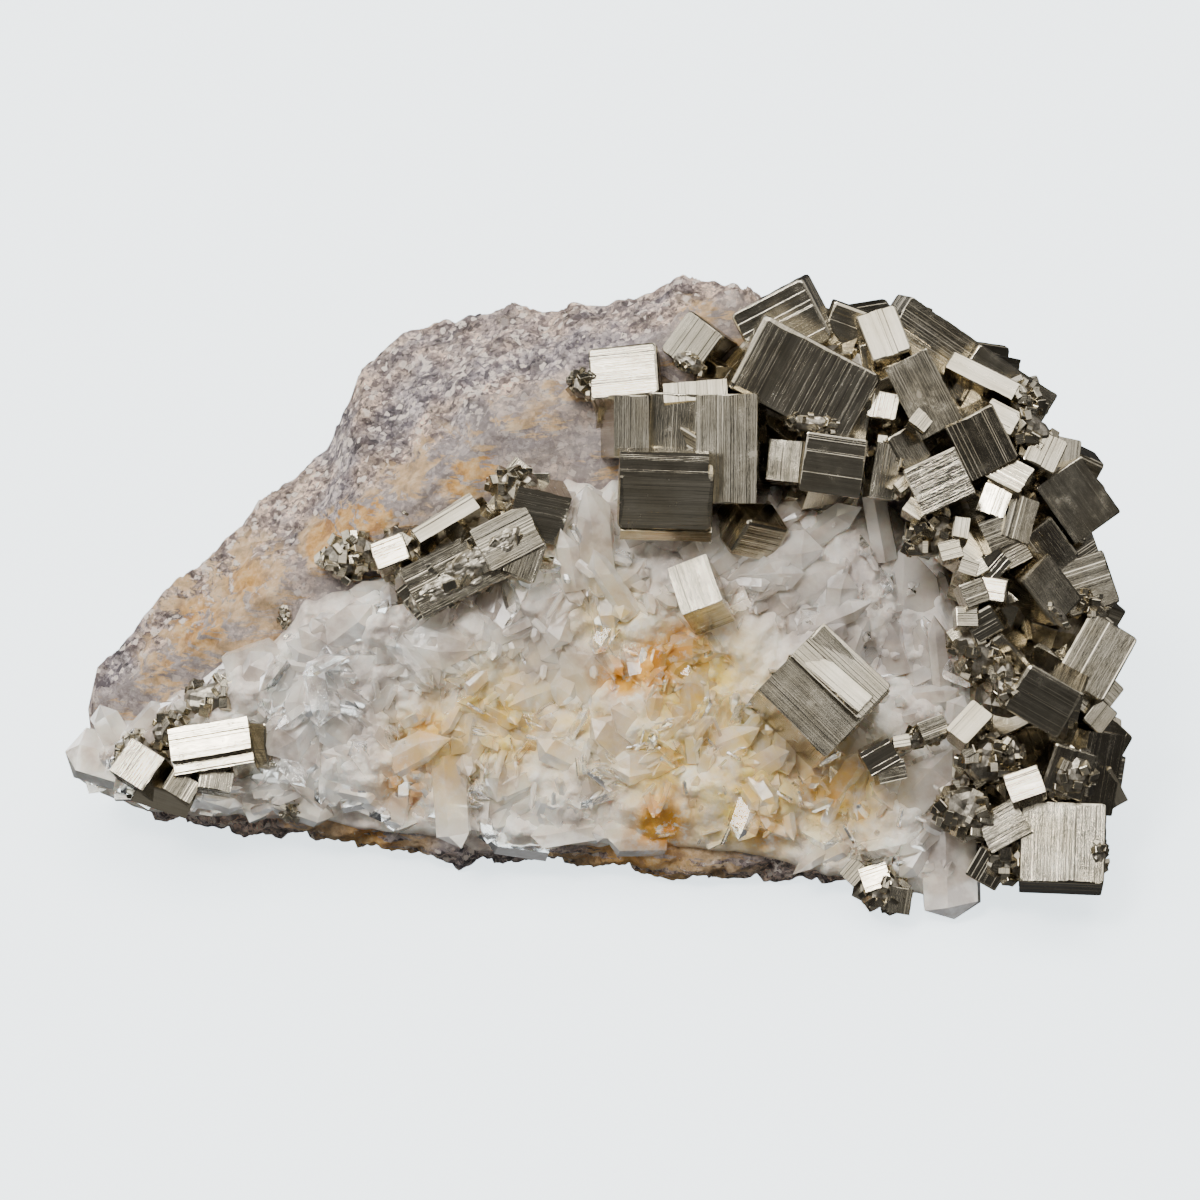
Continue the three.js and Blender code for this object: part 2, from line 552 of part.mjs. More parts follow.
const MATERIALS = {
  rock: new THREE.MeshStandardMaterial({ color: 0xa59a90, roughness: 0.92, metalness: 0 }),
  quartz: new THREE.MeshStandardMaterial({ color: 0xe2dbd0, roughness: 0.35, metalness: 0 }),
  pyrite: new THREE.MeshStandardMaterial({ color: 0x9c917c, roughness: 0.25, metalness: 1 }),
};

const specimen = new THREE.Group();
specimen.position.set(-FOOTPRINT_MIDDLE.x, -FOOTPRINT_MIDDLE.y, 0);

const groups = Object.values(PYRITE_GROUPS);
const sockets = joined(groups.map(([crystals, lumps]) => groupSolid(crystals, lumps, SEAT_GAP)));
specimen.add(meshOf('host_rock', mainBody(rockSolid().subtract(sockets)), MATERIALS.rock));

const crust = joined([crustSheet(), ...QUARTZ_CRYSTALS.map(quartzCrystal)])
  .subtract(rockSolid(SEAT_GAP))
  .subtract(sockets)
  .trimByPlane([0, 0, 1], CRUST_CLEARANCE);
specimen.add(meshOf('quartz_crust', mainBody(crust), MATERIALS.quartz));

for (const [name, [crystals, lumps]] of Object.entries(PYRITE_GROUPS))
  specimen.add(meshOf(name, mainBody(groupSolid(crystals, lumps)), MATERIALS.pyrite));

export default specimen;
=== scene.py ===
"""The looks of a hand specimen of pyrite with quartz: a broken lump of grey rock whose steep front
carries a crust of milky quartz crystals, with striated pyrite cubes standing in and beside it.
Lengths are in millimetres until a mesh is made, and the crystal slope faces -Y."""

import math

import bmesh
import bpy
import numpy as np
from mathutils import Matrix


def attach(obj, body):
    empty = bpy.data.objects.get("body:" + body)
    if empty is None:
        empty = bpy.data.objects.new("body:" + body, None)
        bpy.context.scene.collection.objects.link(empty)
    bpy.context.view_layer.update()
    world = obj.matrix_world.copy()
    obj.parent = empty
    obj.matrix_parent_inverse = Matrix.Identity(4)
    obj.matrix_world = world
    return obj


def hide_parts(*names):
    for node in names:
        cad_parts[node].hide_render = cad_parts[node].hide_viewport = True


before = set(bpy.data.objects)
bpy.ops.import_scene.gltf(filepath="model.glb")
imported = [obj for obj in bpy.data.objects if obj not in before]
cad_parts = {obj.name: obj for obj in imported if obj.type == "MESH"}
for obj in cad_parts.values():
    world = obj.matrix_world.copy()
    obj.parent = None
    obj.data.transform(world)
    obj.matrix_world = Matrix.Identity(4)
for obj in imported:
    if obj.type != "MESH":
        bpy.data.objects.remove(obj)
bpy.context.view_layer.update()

MM = 0.001

# The show side is described in a frame of its own, which looks squarely at the crystal slope:
# u runs right, v up the slope, w out of it. It looks down at this angle, from this far away, and
# its middle is this high above the base.
SHOW_ELEVATION = math.radians(35)
SHOW_DISTANCE = 750.0
SHOW_CENTRE = np.array([0.0, 0.0, 42.5])
FOOTPRINT_MIDDLE = np.array([0.0, 13.4, 0.0])

# The lens is long: its focal length, and the width of the picture behind it.
FOCAL_LENGTH = 150
PICTURE_WIDTH = 36

# The show side's own directions.
U = np.array([1.0, 0.0, 0.0])
V = np.array([0.0, math.sin(SHOW_ELEVATION), math.cos(SHOW_ELEVATION)])
W = np.array([0.0, -math.cos(SHOW_ELEVATION), math.sin(SHOW_ELEVATION)])


def place(u, v, w):
    """Places on the show side. u and v are as seen from SHOW_DISTANCE, so they shrink with nearness."""
    u, v, w = (np.asarray(value, dtype=float)[..., None] for value in (u, v, w))
    nearer = (SHOW_DISTANCE - w) / SHOW_DISTANCE
    return SHOW_CENTRE + u * nearer * U + v * nearer * V + w * W


def turned(axis, degrees):
    """A turn about one axis as a matrix."""
    return np.array(Matrix.Rotation(math.radians(degrees), 3, axis))


def facing(spin, yaw, tip):
    """A turn on the show side: spin in the plane of the slope, then yaw right and tip up."""
    return np.column_stack([U, V, W]) @ turned("Y", yaw) @ turned("X", -tip) @ turned("Z", spin)


def lattice_value(x, y, z):
    """A value from -1 to 1 that looks random but is always the same at the same whole numbers.
    The large factors scatter the bits of neighbouring places."""
    x, y, z = ((a.astype(np.int64) & 0xFFFFFFFF).astype(np.uint32) for a in (x, y, z))
    h = x * np.uint32(374761393) ^ y * np.uint32(668265263) ^ z * np.uint32(2147483590)
    h = (h ^ (h >> np.uint32(13))) * np.uint32(1274126177)
    return (h ^ (h >> np.uint32(16))) / 4294967296.0 * 2 - 1


def noise(points, scale=1.0, shift=0.0):
    """Smooth noise from -1 to 1, with a new value at every whole number of points / scale."""
    p = np.asarray(points, dtype=float) / scale + shift
    cell = np.floor(p)
    f = p - cell
    f = f * f * (3 - 2 * f)
    total = np.zeros(p.shape[:-1])
    for corner in np.ndindex(2, 2, 2):
        share = np.prod([f[..., k] if corner[k] else 1 - f[..., k] for k in range(3)], axis=0)
        total += share * lattice_value(*(cell[..., k] + corner[k] for k in range(3)))
    return total


def facets(points, scale, shift=0.0):
    """Noise from 0 to 1 that rises in flat-sided lumps, one in every cell of points / scale."""
    p = np.asarray(points, dtype=float) / scale + shift
    cell = np.floor(p)
    nearest = np.full(p.shape[:-1], 9.0)
    for step in np.ndindex(3, 3, 3):
        c = cell + np.array(step) - 1
        x, y, z = (c[..., k] for k in range(3))
        jitter = np.stack([lattice_value(x + k * 17, y, z) for k in range(3)], axis=-1)
        centre = c + 0.5 + 0.4 * jitter
        tilt = np.stack([lattice_value(x, y + 31 + k * 13, z) for k in range(3)], axis=-1)
        offset = p - centre
        reach = np.sqrt((offset ** 2).sum(-1)) + 0.35 * (offset * tilt).sum(-1)
        nearest = np.minimum(nearest, reach)
    return 1 - nearest


# The height of an equilateral triangle with sides of 1.
TRIANGLE_HEIGHT = 0.866


def pyramids(u, v, scale, shift=0.0):
    """Relief from 0 to 1 of crowded blunt six-sided points, one in every cell of u, v / scale."""
    p = np.stack([u, v], axis=-1) / scale + shift
    cell = np.floor(p)
    highest = np.full(u.shape, -1.0)
    for step in np.ndindex(3, 3):
        c = cell + np.array(step) - 1
        x, y, z = c[..., 0], c[..., 1], np.zeros(u.shape)
        offset = p - (c + 0.5 + 0.4 * np.stack([lattice_value(x, y, z + k) for k in (1, 2)], axis=-1))
        turn = math.pi * lattice_value(x, y, z + 3)
        along = offset[..., 0] * np.cos(turn) + offset[..., 1] * np.sin(turn)
        across = offset[..., 1] * np.cos(turn) - offset[..., 0] * np.sin(turn)
        across = across * (1.35 + 0.35 * lattice_value(x, y, z + 4))
        half = 0.5 * along
        slant = TRIANGLE_HEIGHT * across
        sides = [np.abs(along), np.abs(half + slant), np.abs(half - slant)]
        top = 0.55 + 0.35 * lattice_value(x, y, z + 5) + 0.5 * along * lattice_value(x, y, z + 6)
        flank = 1.25 + 0.2 * lattice_value(x, y, z + 7) - 1.6 * np.maximum.reduce(sides)
        highest = np.maximum(highest, np.minimum(top, flank))
    return np.clip(highest, 0, 1)


def scene_object(name, data):
    """An object in the scene with the given mesh or camera."""
    made = bpy.data.objects.new(name, data)
    bpy.context.scene.collection.objects.link(made)
    return made


def mesh_object(name, points, faces, material, attributes=None):
    """A mesh object from points in millimetres. Each attribute is a domain, a kind and its values."""
    mesh = bpy.data.meshes.new(name)
    mesh.from_pydata(((points - FOOTPRINT_MIDDLE) * MM).tolist(), [], faces)
    for key, (domain, kind, values) in (attributes or {}).items():
        attribute = mesh.attributes.new(key, kind, domain)
        field = "vector" if kind == "FLOAT_VECTOR" else "value"
        attribute.data.foreach_set(field, np.asarray(values, dtype=np.float32).ravel())
    mesh.update()
    mesh.materials.append(material)
    return scene_object(name, mesh)


def piece(made, node):
    """Puts the made object under the root body and hides the part of the node it stands for."""
    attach(made, "root")
    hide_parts(node)
    return made


class Shader:
    """A material made of nodes around one Principled BSDF."""

    def __init__(self, name, **values):
        self.material = bpy.data.materials.new(name)
        self.material.use_nodes = True
        self.tree = self.material.node_tree
        self.surface = self.tree.nodes["Principled BSDF"]
        self.set(self.surface, values)

    def set(self, node, values):
        """Gives a node's inputs values, or links them to other nodes' outputs."""
        for key, value in values.items():
            socket = node.inputs[key if isinstance(key, int) else key.replace("_", " ")]
            if isinstance(value, bpy.types.NodeSocket):
                self.tree.links.new(value, socket)
            else:
                socket.default_value = value

    def node(self, kind, output=0, settings=None, **values):
        """One output of a new node."""
        made = self.tree.nodes.new(kind)
        for key, value in (settings or {}).items():
            setattr(made, key, value)
        self.set(made, values)
        return made.outputs[output]

    def millimetres(self):
        """Texture coordinates in millimetres."""
        metres = self.node("ShaderNodeTexCoord", "Object")
        return self.node("ShaderNodeMapping", Vector=metres, Scale=(1 / MM, 1 / MM, 1 / MM))

    def attribute(self, name, output="Fac"):
        return self.node("ShaderNodeAttribute", output, {"attribute_name": name})

    def noise(self, vector, scale, detail=4.0, roughness=0.6):
        return self.node("ShaderNodeTexNoise", 0, Vector=vector, Scale=scale, Detail=detail,
                         Roughness=roughness)

    def cells(self, vector, scale, output="Distance"):
        return self.node("ShaderNodeTexVoronoi", output, Vector=vector, Scale=scale)

    def ramp(self, factor, *stops):
        """A colour or grey for each place along factor."""
        made = self.tree.nodes.new("ShaderNodeValToRGB")
        self.tree.links.new(factor, made.inputs[0])
        elements = made.color_ramp.elements
        while len(elements) < len(stops):
            elements.new(1.0)
        for element, (position, colour) in zip(elements, stops):
            element.position = position
            grey = isinstance(colour, (int, float))
            element.color = (colour, colour, colour, 1) if grey else (*colour, 1)
        return made.outputs[0]

    def mix(self, factor, first, second, blend="MIX"):
        made = self.tree.nodes.new("ShaderNodeMix")
        made.data_type = "RGBA"
        made.blend_type = blend
        for index, value in ((0, factor), (6, first), (7, second)):
            if isinstance(value, bpy.types.NodeSocket):
                self.tree.links.new(value, made.inputs[index])
            elif index:
                made.inputs[index].default_value = (*value, 1)
            else:
                made.inputs[index].default_value = value
        return made.outputs[2]

    def maths(self, operation, first, second=0.0):
        made = self.tree.nodes.new("ShaderNodeMath")
        made.operation = operation
        self.set(made, {0: first, 1: second})
        return made.outputs[0]

    def times(self, first, second):
        return self.maths("MULTIPLY", first, second)

    def bump(self, height, distance, strength=1.0, under=None):
        made = self.tree.nodes.new("ShaderNodeBump")
        self.set(made, {"Height": height, "Distance": distance * MM, "Strength": strength})
        if under:
            self.tree.links.new(under, made.inputs["Normal"])
        return made.outputs[0]


# The host rock as sections across its length. Each row: x, then the y and z of the lip under the
# crust, the ridge where the crust ends, the far edge of the broken top, the middle of the back
# and the foot of the back, with z measured from the base.
ROCK_SECTIONS = [
    (-77, (-3.4, 13.2), (0.9, 21.1), (7, 25), (9, 16), (6, 9)),
    (-68, (-6.9, 8.3), (1.7, 29.1), (15.3, 32.4), (22, 18), (18, 2)),
    (-55, (-7.7, 7), (2.4, 37.2), (27.9, 39.2), (33, 22), (28, 0)),
    (-42, (-10, 5.6), (5.3, 44.9), (40.8, 45.8), (47, 26), (41, 0)),
    (-37, (-11, 5.5), (7, 47.8), (46.8, 54.6), (52, 29), (45, 0)),
    (-30, (-12.5, 5.5), (9.1, 52), (52.4, 58), (57, 32), (50, 0)),
    (-15, (-15, 5.4), (17.4, 62.1), (50.1, 64.2), (57, 34), (51, 0)),
    (0, (-15.5, 6.4), (22.8, 68), (43, 67.4), (53, 36), (50, 0)),
    (12, (-17, 6.1), (28.1, 72.2), (40.9, 74.2), (51, 38), (48, 0)),
    (21, (-18, 6.3), (32.4, 74.8), (38.5, 75), (48, 38), (46, 0)),
    (40, (-19.2, 4.7), (30, 62), (37, 60), (44, 36), (41, 0)),
    (58, (-17, 4.3), (25, 51), (31, 48), (37, 30), (33, 0)),
    (70, (-10, 6), (16, 34), (21, 31), (24, 20), (20, 3)),
]
SECTION_X = [row[0] for row in ROCK_SECTIONS]
SECTION_CORNERS = {
    name: np.array([row[1 + k] for row in ROCK_SECTIONS], dtype=float)
    for k, name in enumerate(("lip", "ridge", "top", "back", "foot"))
}

# How far the base starts behind the lip.
BASE_SETBACK = 6.0

# The rock breaks in ledges along its layering, which dips to the left and to the back.
LAYERING = np.array([-0.45, 0.3, 0.84]) / np.linalg.norm([-0.45, 0.3, 0.84])
LEDGE_HEIGHT = 4.2

# The usual breadth of the broken top and of the crystal slope, for distances from the ridge.
TOP_BREADTH = 46.0
SLOPE_BREADTH = 50.0

# Steps along the rock's length, and round it between each pair of section corners.
ROCK_STATIONS = 300
ROCK_EDGES = [
    ("lip", "ridge", 34),
    ("ridge", "top", 118),
    ("top", "back", 46),
    ("back", "foot", 40),
    ("foot", "toe", 10),
    ("toe", "lip", 12),
]


def section_corner(name, x):
    """A named corner of the rock's section at x. The toe is the front edge of the base."""
    corners = SECTION_CORNERS["lip" if name == "toe" else name]
    y, z = (np.interp(x, SECTION_X, corners[:, k]) for k in (0, 1))
    if name == "toe":
        y = y + BASE_SETBACK
        z = np.interp(x, SECTION_X, SECTION_CORNERS["foot"][:, 1])
    return np.stack([x, y, z], axis=-1)


def rock_roughness(points):
    """How far the broken surface stands out of its plain shape: swells, ledges, chips and grain."""
    level = points @ LAYERING / LEDGE_HEIGHT + 0.5 * noise(points, 15)
    ledge = level - np.floor(level) - 0.5
    coarse = 1.4 * noise(points, 11) + 0.7 * noise(points + [40.5, 0, 0], 4.5)
    chips = 1.6 * facets(points, 5.5, 3.3) + 1.1 * facets(points, 2.3, 7.7)
    grain = 0.5 * (facets(points, 1.25, 4.4) - 0.5) + 0.16 * noise(points, 0.55)
    return coarse + 1.2 * ledge + chips - 1.4 + grain


def rock_piece(material):
    """The rock as rings of points along its length, pushed out and in, and closed at both ends."""
    x = np.linspace(SECTION_X[0], SECTION_X[-1], ROCK_STATIONS + 1)
    corners = {name: section_corner(name, x) for name in (*SECTION_CORNERS, "toe")}
    lip, back = corners["lip"], corners["back"]
    middle = np.stack([x, (lip[:, 1] + back[:, 1]) / 2, back[:, 2]], axis=-1)
    ring, from_ridge = [], []
    for start, end, steps in ROCK_EDGES:
        for t in np.arange(steps) / steps:
            ring.append(corners[start] * (1 - t) + corners[end] * t)
            distance = {"ridge": t * TOP_BREADTH, "lip": (t - 1) * SLOPE_BREADTH}
            from_ridge.append(distance.get(start, TOP_BREADTH))
    rings = np.stack(ring, axis=1)
    around = rings.shape[1]
    flat = rings[..., 2] < 1e-6
    soft = sum(np.roll(rings, shift, axis=1) for shift in range(-3, 4)) / 7
    soft[..., 2] = np.where(flat, 0, soft[..., 2])
    outward = rings - middle[:, None]
    outward /= np.linalg.norm(outward, axis=-1, keepdims=True)
    rough = soft + outward * rock_roughness(soft)[..., None]
    rough[..., 2] = np.where(flat, 0, np.maximum(rough[..., 2], 0.4))
    points = rough.reshape(-1, 3)
    k = np.arange(around)
    faces = []
    for s in range(ROCK_STATIONS):
        a = s * around + k
        b = s * around + (k + 1) % around
        faces += np.stack([a, a + around, b + around, b], axis=1).tolist()
    ends = []
    for start, sign in ((0, -1), (ROCK_STATIONS * around, 1)):
        tip = points[start:start + around].mean(axis=0) + [sign * 1.5, 0, 0]
        index = len(points) + len(ends)
        ends.append(tip)
        loop = [(start + i, start + (i + 1) % around) for i in range(around)]
        faces += [(index, *(pair if sign < 0 else pair[::-1])) for pair in loop]
    points = np.vstack([points, ends])
    from_ridge = [*np.tile(from_ridge, ROCK_STATIONS + 1), TOP_BREADTH, TOP_BREADTH]
    attributes = {
        "from_ridge": ("POINT", "FLOAT", from_ridge),
        "ochre": ("POINT", "FLOAT", spots(points, ROCK_STAINS)),
    }
    made = mesh_object("rock", points, faces, material, attributes)
    made.data.shade_smooth()
    return made


def spots(points, table):
    """The strongest of the table's round spots on the show side, each fading outward, at each point."""
    relative = points - SHOW_CENTRE
    u, v = relative @ U, relative @ V
    best = np.zeros(len(points))
    for (at_u, at_v), radius, strength in table:
        distance = np.hypot(u - at_u, v - at_v) / radius
        best = np.maximum(best, strength * np.exp(-distance ** 2))
    return best


# Iron stains on the rock: place, radius and strength.
ROCK_STAINS = [
    ((-41, 8.5), 3.6, 3.2),
    ((-37.5, 11), 3.4, 3.2),
    ((-34, 13), 2.8, 2.8),
    ((-20.5, 18), 2.6, 3.2),
    ((-17.5, 20), 2.4, 3.0),
    ((-24, 22), 5, 0.9),
    ((-30, 18), 4, 0.9),
    ((-61, -4), 8, 1.3),
    ((-54, 3), 7, 1.2),
    ((-65, -11), 6, 1.1),
    ((-30, 15), 5, 0.7),
    ((15, 44), 3.2, 0.9),
    ((-9, 28), 5, 0.5),
    ((-35, -37), 9, 1.2),
    ((6, -40), 16, 1.2),
]


def rock_material():
    """Grey speckled rock, paler and darker in bands, greasy along the ridge, with ochre stains."""
    shader = Shader("rock", Roughness=0.88)
    mm = shader.millimetres()
    layers = shader.node(
        "ShaderNodeMapping", Vector=mm, Rotation=(0.35, 0.55, 0.0), Scale=(0.3, 0.3, 1.7))
    drift = shader.node("ShaderNodeTexNoise", 1, Vector=mm, Scale=0.8, Detail=3.0)
    warped = shader.mix(0.35, mm, drift, "ADD")
    grains = shader.mix(
        0.5, shader.cells(warped, 0.75, "Color"), shader.cells(warped, 1.7, "Color"))
    speckle = shader.node("ShaderNodeSeparateColor", 0, Color=grains)
    cloud = shader.noise(mm, 0.3, 8, 0.7)
    level = shader.maths("ADD", shader.times(speckle, 0.5), shader.times(cloud, 0.55))
    colour = shader.ramp(
        level,
        (0.36, (0.13, 0.115, 0.12)), (0.45, (0.27, 0.24, 0.245)), (0.53, (0.43, 0.385, 0.37)),
        (0.62, (0.62, 0.55, 0.50)), (0.70, (0.88, 0.81, 0.75)),
    )
    bands = shader.ramp(shader.noise(layers, 0.4, 7, 0.65), (0.39, 0.42), (0.48, 0.95), (0.60, 1.3))
    colour = shader.mix(0.9, colour, bands, "MULTIPLY")
    zones = shader.ramp(
        shader.noise(mm, 0.09, 4, 0.55), (0.42, (0.78, 0.79, 0.87)), (0.57, (1.16, 1.03, 0.92)))
    colour = shader.mix(1.0, colour, zones, "MULTIPLY")
    flecks = shader.node("ShaderNodeSeparateColor", 1, Color=shader.cells(warped, 1.1, "Color"))
    colour = shader.mix(shader.ramp(flecks, (0.86, 0.0), (0.90, 0.9)), colour, (0.92, 0.86, 0.80))
    dark = shader.ramp(shader.noise(mm, 1.5, 4, 0.75), (0.37, 0.95), (0.42, 0.0))
    colour = shader.mix(dark, colour, (0.09, 0.08, 0.08))
    ridge = shader.ramp(
        shader.times(shader.attribute("from_ridge"), 0.02),
        (0.0, 1.0), (0.18, 0.9), (0.30, 0.0),
    )
    greasy = shader.ramp(
        shader.noise(layers, 0.3, 4, 0.5), (0.40, (0.34, 0.305, 0.30)), (0.60, (0.50, 0.455, 0.44)))
    colour = shader.mix(shader.times(ridge, 0.6), colour, greasy)
    patchy = shader.ramp(shader.noise(layers, 0.22, 5, 0.65), (0.50, 0.0), (0.56, 0.6))
    ochre = shader.attribute("ochre")
    stain = shader.maths("MAXIMUM", shader.times(ridge, patchy), ochre)
    broken = shader.ramp(shader.noise(layers, 0.35, 7, 0.7), (0.42, 0.0), (0.54, 1.0))
    stain = shader.ramp(shader.times(stain, broken), (0.25, 0.0), (0.5, 0.9))
    rust = shader.ramp(
        shader.noise(mm, 0.4, 5, 0.65),
        (0.38, (0.42, 0.21, 0.06)), (0.5, (0.72, 0.41, 0.11)), (0.64, (0.84, 0.62, 0.32)),
    )
    tan = shader.ramp(
        shader.noise(mm, 0.4, 5, 0.65),
        (0.38, (0.44, 0.31, 0.18)), (0.5, (0.68, 0.48, 0.26)), (0.64, (0.84, 0.67, 0.44)),
    )
    strongest = shader.ramp(shader.times(ochre, 0.5), (0.42, 0.0), (0.6, 1.0))
    colour = shader.mix(stain, colour, shader.mix(strongest, tan, rust))
    glint = shader.ramp(shader.noise(mm, 2.2, 2, 0.5), (0.70, 0.0), (0.72, 1.0))
    colour = shader.mix(glint, colour, (0.62, 0.57, 0.46))
    fine = shader.noise(mm, 2.2, 6, 0.75)
    pits = shader.cells(mm, 0.9)
    height = shader.maths("ADD", fine, shader.times(pits, 0.3))
    colour = shader.mix(1.0, colour, (1.08, 1.02, 0.97), "MULTIPLY")
    shader.set(shader.surface, {
        "Base Color": colour,
        "Metallic": glint,
        "Roughness": shader.ramp(glint, (0.0, 0.8), (1.0, 0.3)),
        "Normal": shader.bump(height, 0.6, 1.0),
    })
    return shader.material


# The quartz crust's outline on the slope: u, then v of its lower and of its upper edge.
CRUST_OUTLINE = np.array([
    (-78, -27, -20), (-70, -31, -17), (-60, -32.5, -12), (-52, -32.5, -7), (-45, -32.5, -1),
    (-36, -34, 4), (-25, -35.5, 8), (-15, -38, 12), (-6, -37, 18), (0, -36.3, 20),
    (10, -36.5, 20), (20, -37.5, 18), (30, -40, 17), (40, -42.5, 18), (46, -44, 12),
    (51, -45, 7), (57, -42, -8),
])

# Its thickness over the slope in the middle and at the very edge, how far it reaches into the
# rock, and how far above the base everything on the slope ends.
CRUST_THICKNESS = 5.5
CRUST_EDGE = 0.35
CRUST_ROOT = 4.0
BASE_CLEARANCE = 0.6

# It fades out at its ends, u and over how far.
CRUST_START = -79
CRUST_END = 59
CRUST_FADE = 6

# Its surface is crowded with blunt points of three sizes: height, spacing and shift. They rise
# from a root this far below it.
CRUST_POINTS = [(3.6, 10.0, 0.0), (2.0, 5.0, 3.4), (1.0, 2.4, 8.1)]
CRUST_POINTS_ROOT = 2.6

# Steps along it and up it.
CRUST_COLUMNS = 330
CRUST_ROWS = 130


def outline_at(u):
    """The crust's lower and upper edge at u, which wander a little."""
    low, high = (np.interp(u, CRUST_OUTLINE[:, 0], CRUST_OUTLINE[:, k]) for k in (1, 2))
    line = np.stack([u, np.zeros_like(u), np.zeros_like(u)], axis=-1)
    ragged = 1.6 * noise(line, 4.5) + 0.9 * noise(line, 1.7)
    return low + 0.3 * ragged, high - 1.0 + ragged


def slope_depth(u, v):
    """How far out of the show plane the rock's slope lies at u, v."""
    x = np.maximum(u + SHOW_CENTRE[0], SECTION_X[0])
    lip = section_corner("lip", x) - SHOW_CENTRE
    ridge = section_corner("ridge", x) - SHOW_CENTRE
    t = np.clip((v - lip @ V) / (ridge @ V - lip @ V), 0, 1)
    return lip @ W + (ridge @ W - lip @ W) * t


def crust_depth(u, v):
    """The crust's own surface: it swells towards the middle and is lumpy all over."""
    low, high = outline_at(u)
    across = (v - low) / (high - low)
    fade = np.minimum.reduce([
        np.ones_like(across),
        5 * np.minimum(across, 1 - across),
        (u - CRUST_START) / CRUST_FADE,
        (CRUST_END - u) / CRUST_FADE,
    ])
    swell = np.sqrt(np.maximum(fade, 0))
    flat = np.stack([u, v, np.zeros_like(u)], axis=-1)
    lumps = 1.6 * noise(flat / 9 + [0, 0, 3]) + 1.0 * noise(flat / 4 + [0, 0, 7])
    return slope_depth(u, v) + (CRUST_THICKNESS + lumps) * swell


def crust_piece(material):
    """The crust without its standing crystals: a sheet with a front, a back in the rock and a rim."""
    u = np.linspace(CRUST_OUTLINE[0, 0], CRUST_OUTLINE[-1, 0], CRUST_COLUMNS + 1)[:, None]
    low, high = outline_at(u)
    v = low + (high - low) * np.linspace(0, 1, CRUST_ROWS + 1)[None]
    u = np.broadcast_to(u, v.shape)
    slope = slope_depth(u, v)
    relief = sum(height * pyramids(u, v, spacing, shift) for height, spacing, shift in CRUST_POINTS)
    relief += 0.2 * noise(np.stack([u, v, slope * 0.5], axis=-1), 0.8)
    depth = crust_depth(u, v) - slope
    edge = np.clip(depth / 3, 0.15, 1)
    front = np.maximum(depth + (relief - CRUST_POINTS_ROOT) * edge, CRUST_EDGE)
    sheet = np.stack([place(u, v, slope + front), place(u, v, slope - CRUST_ROOT)])
    sheet[..., 2] = np.maximum(sheet[..., 2], BASE_CLEARANCE)
    points = sheet.reshape(-1, 3)
    row = CRUST_ROWS + 1
    side = (CRUST_COLUMNS + 1) * row
    i, j = np.meshgrid(np.arange(CRUST_COLUMNS), np.arange(CRUST_ROWS), indexing="ij")
    a = (i * row + j).ravel()
    b = a + side
    faces = np.stack([a, a + row, a + row + 1, a + 1], axis=1).tolist()
    faces += np.stack([b, b + 1, b + row + 1, b + row], axis=1).tolist()
    rim = list(range(0, CRUST_COLUMNS * row, row))
    rim += list(range(CRUST_COLUMNS * row, side - 1))
    rim += list(range(side - 1, row - 1, -row))
    rim += list(range(row - 1, 0, -1))
    for a, b in zip(rim, rim[1:] + rim[:1]):
        faces.append((a, a + side, b + side, b))
    made = mesh_object("quartz_bed", points, faces, material, quartz_stains(points))
    made.data.shade_smooth()
    return made


# Stains in the quartz: place on the show side, radius and strength.
ORANGE_STAINS = [
    ((8, -9.5), 3.4, 1.8),
    ((12, -6.5), 2.8, 1.3),
    ((3.5, -12), 2.6, 1.5),
    ((9, -34), 3.8, 1.6),
    ((-30, -28.5), 4, 0.9),
    ((25, -35.5), 3, 0.6),
    ((-26, -19), 2.5, 0.6),
    ((35, -29), 4.5, 0.45),
]
YELLOW_STAINS = [
    ((-15, -18), 8, 0.9),
    ((-25, -21), 6, 0.8),
    ((-4, -19), 9, 0.5),
    ((14, -12), 9, 0.95),
    ((10, -24), 9, 0.8),
    ((22, -30), 10, 0.8),
    ((2, -3), 6, 0.6),
    ((36, -29), 8, 0.8),
    ((21, -20), 9, 0.7),
    ((-12, 8), 5, 0.5),
]
GREY_ZONES = [
    ((-5, -22), 5, 0.6),
    ((52, -32), 8, 0.7),
    ((45, 0), 9, 0.35),
    ((-50, -24), 9, 0.3),
    ((22, 0), 8, 0.4),
    ((-38, -12), 9, 0.45),
    ((-10, -6), 7, 0.4),
    ((5, -17), 4, 0.4),
    ((34, -3), 9, 0.85),
    ((46, -6), 8, 0.8),
    ((12, 8), 8, 0.6),
]

# How strongly quartz bends light.
QUARTZ_IOR = 1.54


def quartz_stains(points):
    """The stains as attributes of the points."""
    return {
        "orange": ("POINT", "FLOAT", spots(points, ORANGE_STAINS)),
        "yellow": ("POINT", "FLOAT", spots(points, YELLOW_STAINS)),
        "grey": ("POINT", "FLOAT", spots(points, GREY_ZONES)),
    }


def quartz_colour(shader, mm, amount):
    """Milky white with brownish and grey depths, stained where the attributes say."""
    cloud = shader.ramp(
        shader.noise(mm, 0.16, 4, 0.6),
        (0.38, (0.62, 0.54, 0.48)), (0.47, (0.88, 0.79, 0.69)), (0.58, (0.98, 0.92, 0.83)),
    )
    patch = shader.ramp(shader.noise(mm, 0.3, 5, 0.65), (0.34, 0.2), (0.6, 1.0))
    grey = shader.times(shader.attribute("grey"), patch)
    colour = shader.mix(grey, cloud, (0.50, 0.455, 0.43))
    yellow = shader.times(shader.attribute("yellow"), shader.times(patch, amount))
    colour = shader.mix(yellow, colour, (0.96, 0.69, 0.18))
    spot = shader.ramp(shader.noise(mm, 0.6, 4, 0.7), (0.38, 0.0), (0.48, 1.0))
    orange = shader.times(shader.attribute("orange"), spot)
    return shader.mix(orange, colour, (0.78, 0.40, 0.05))


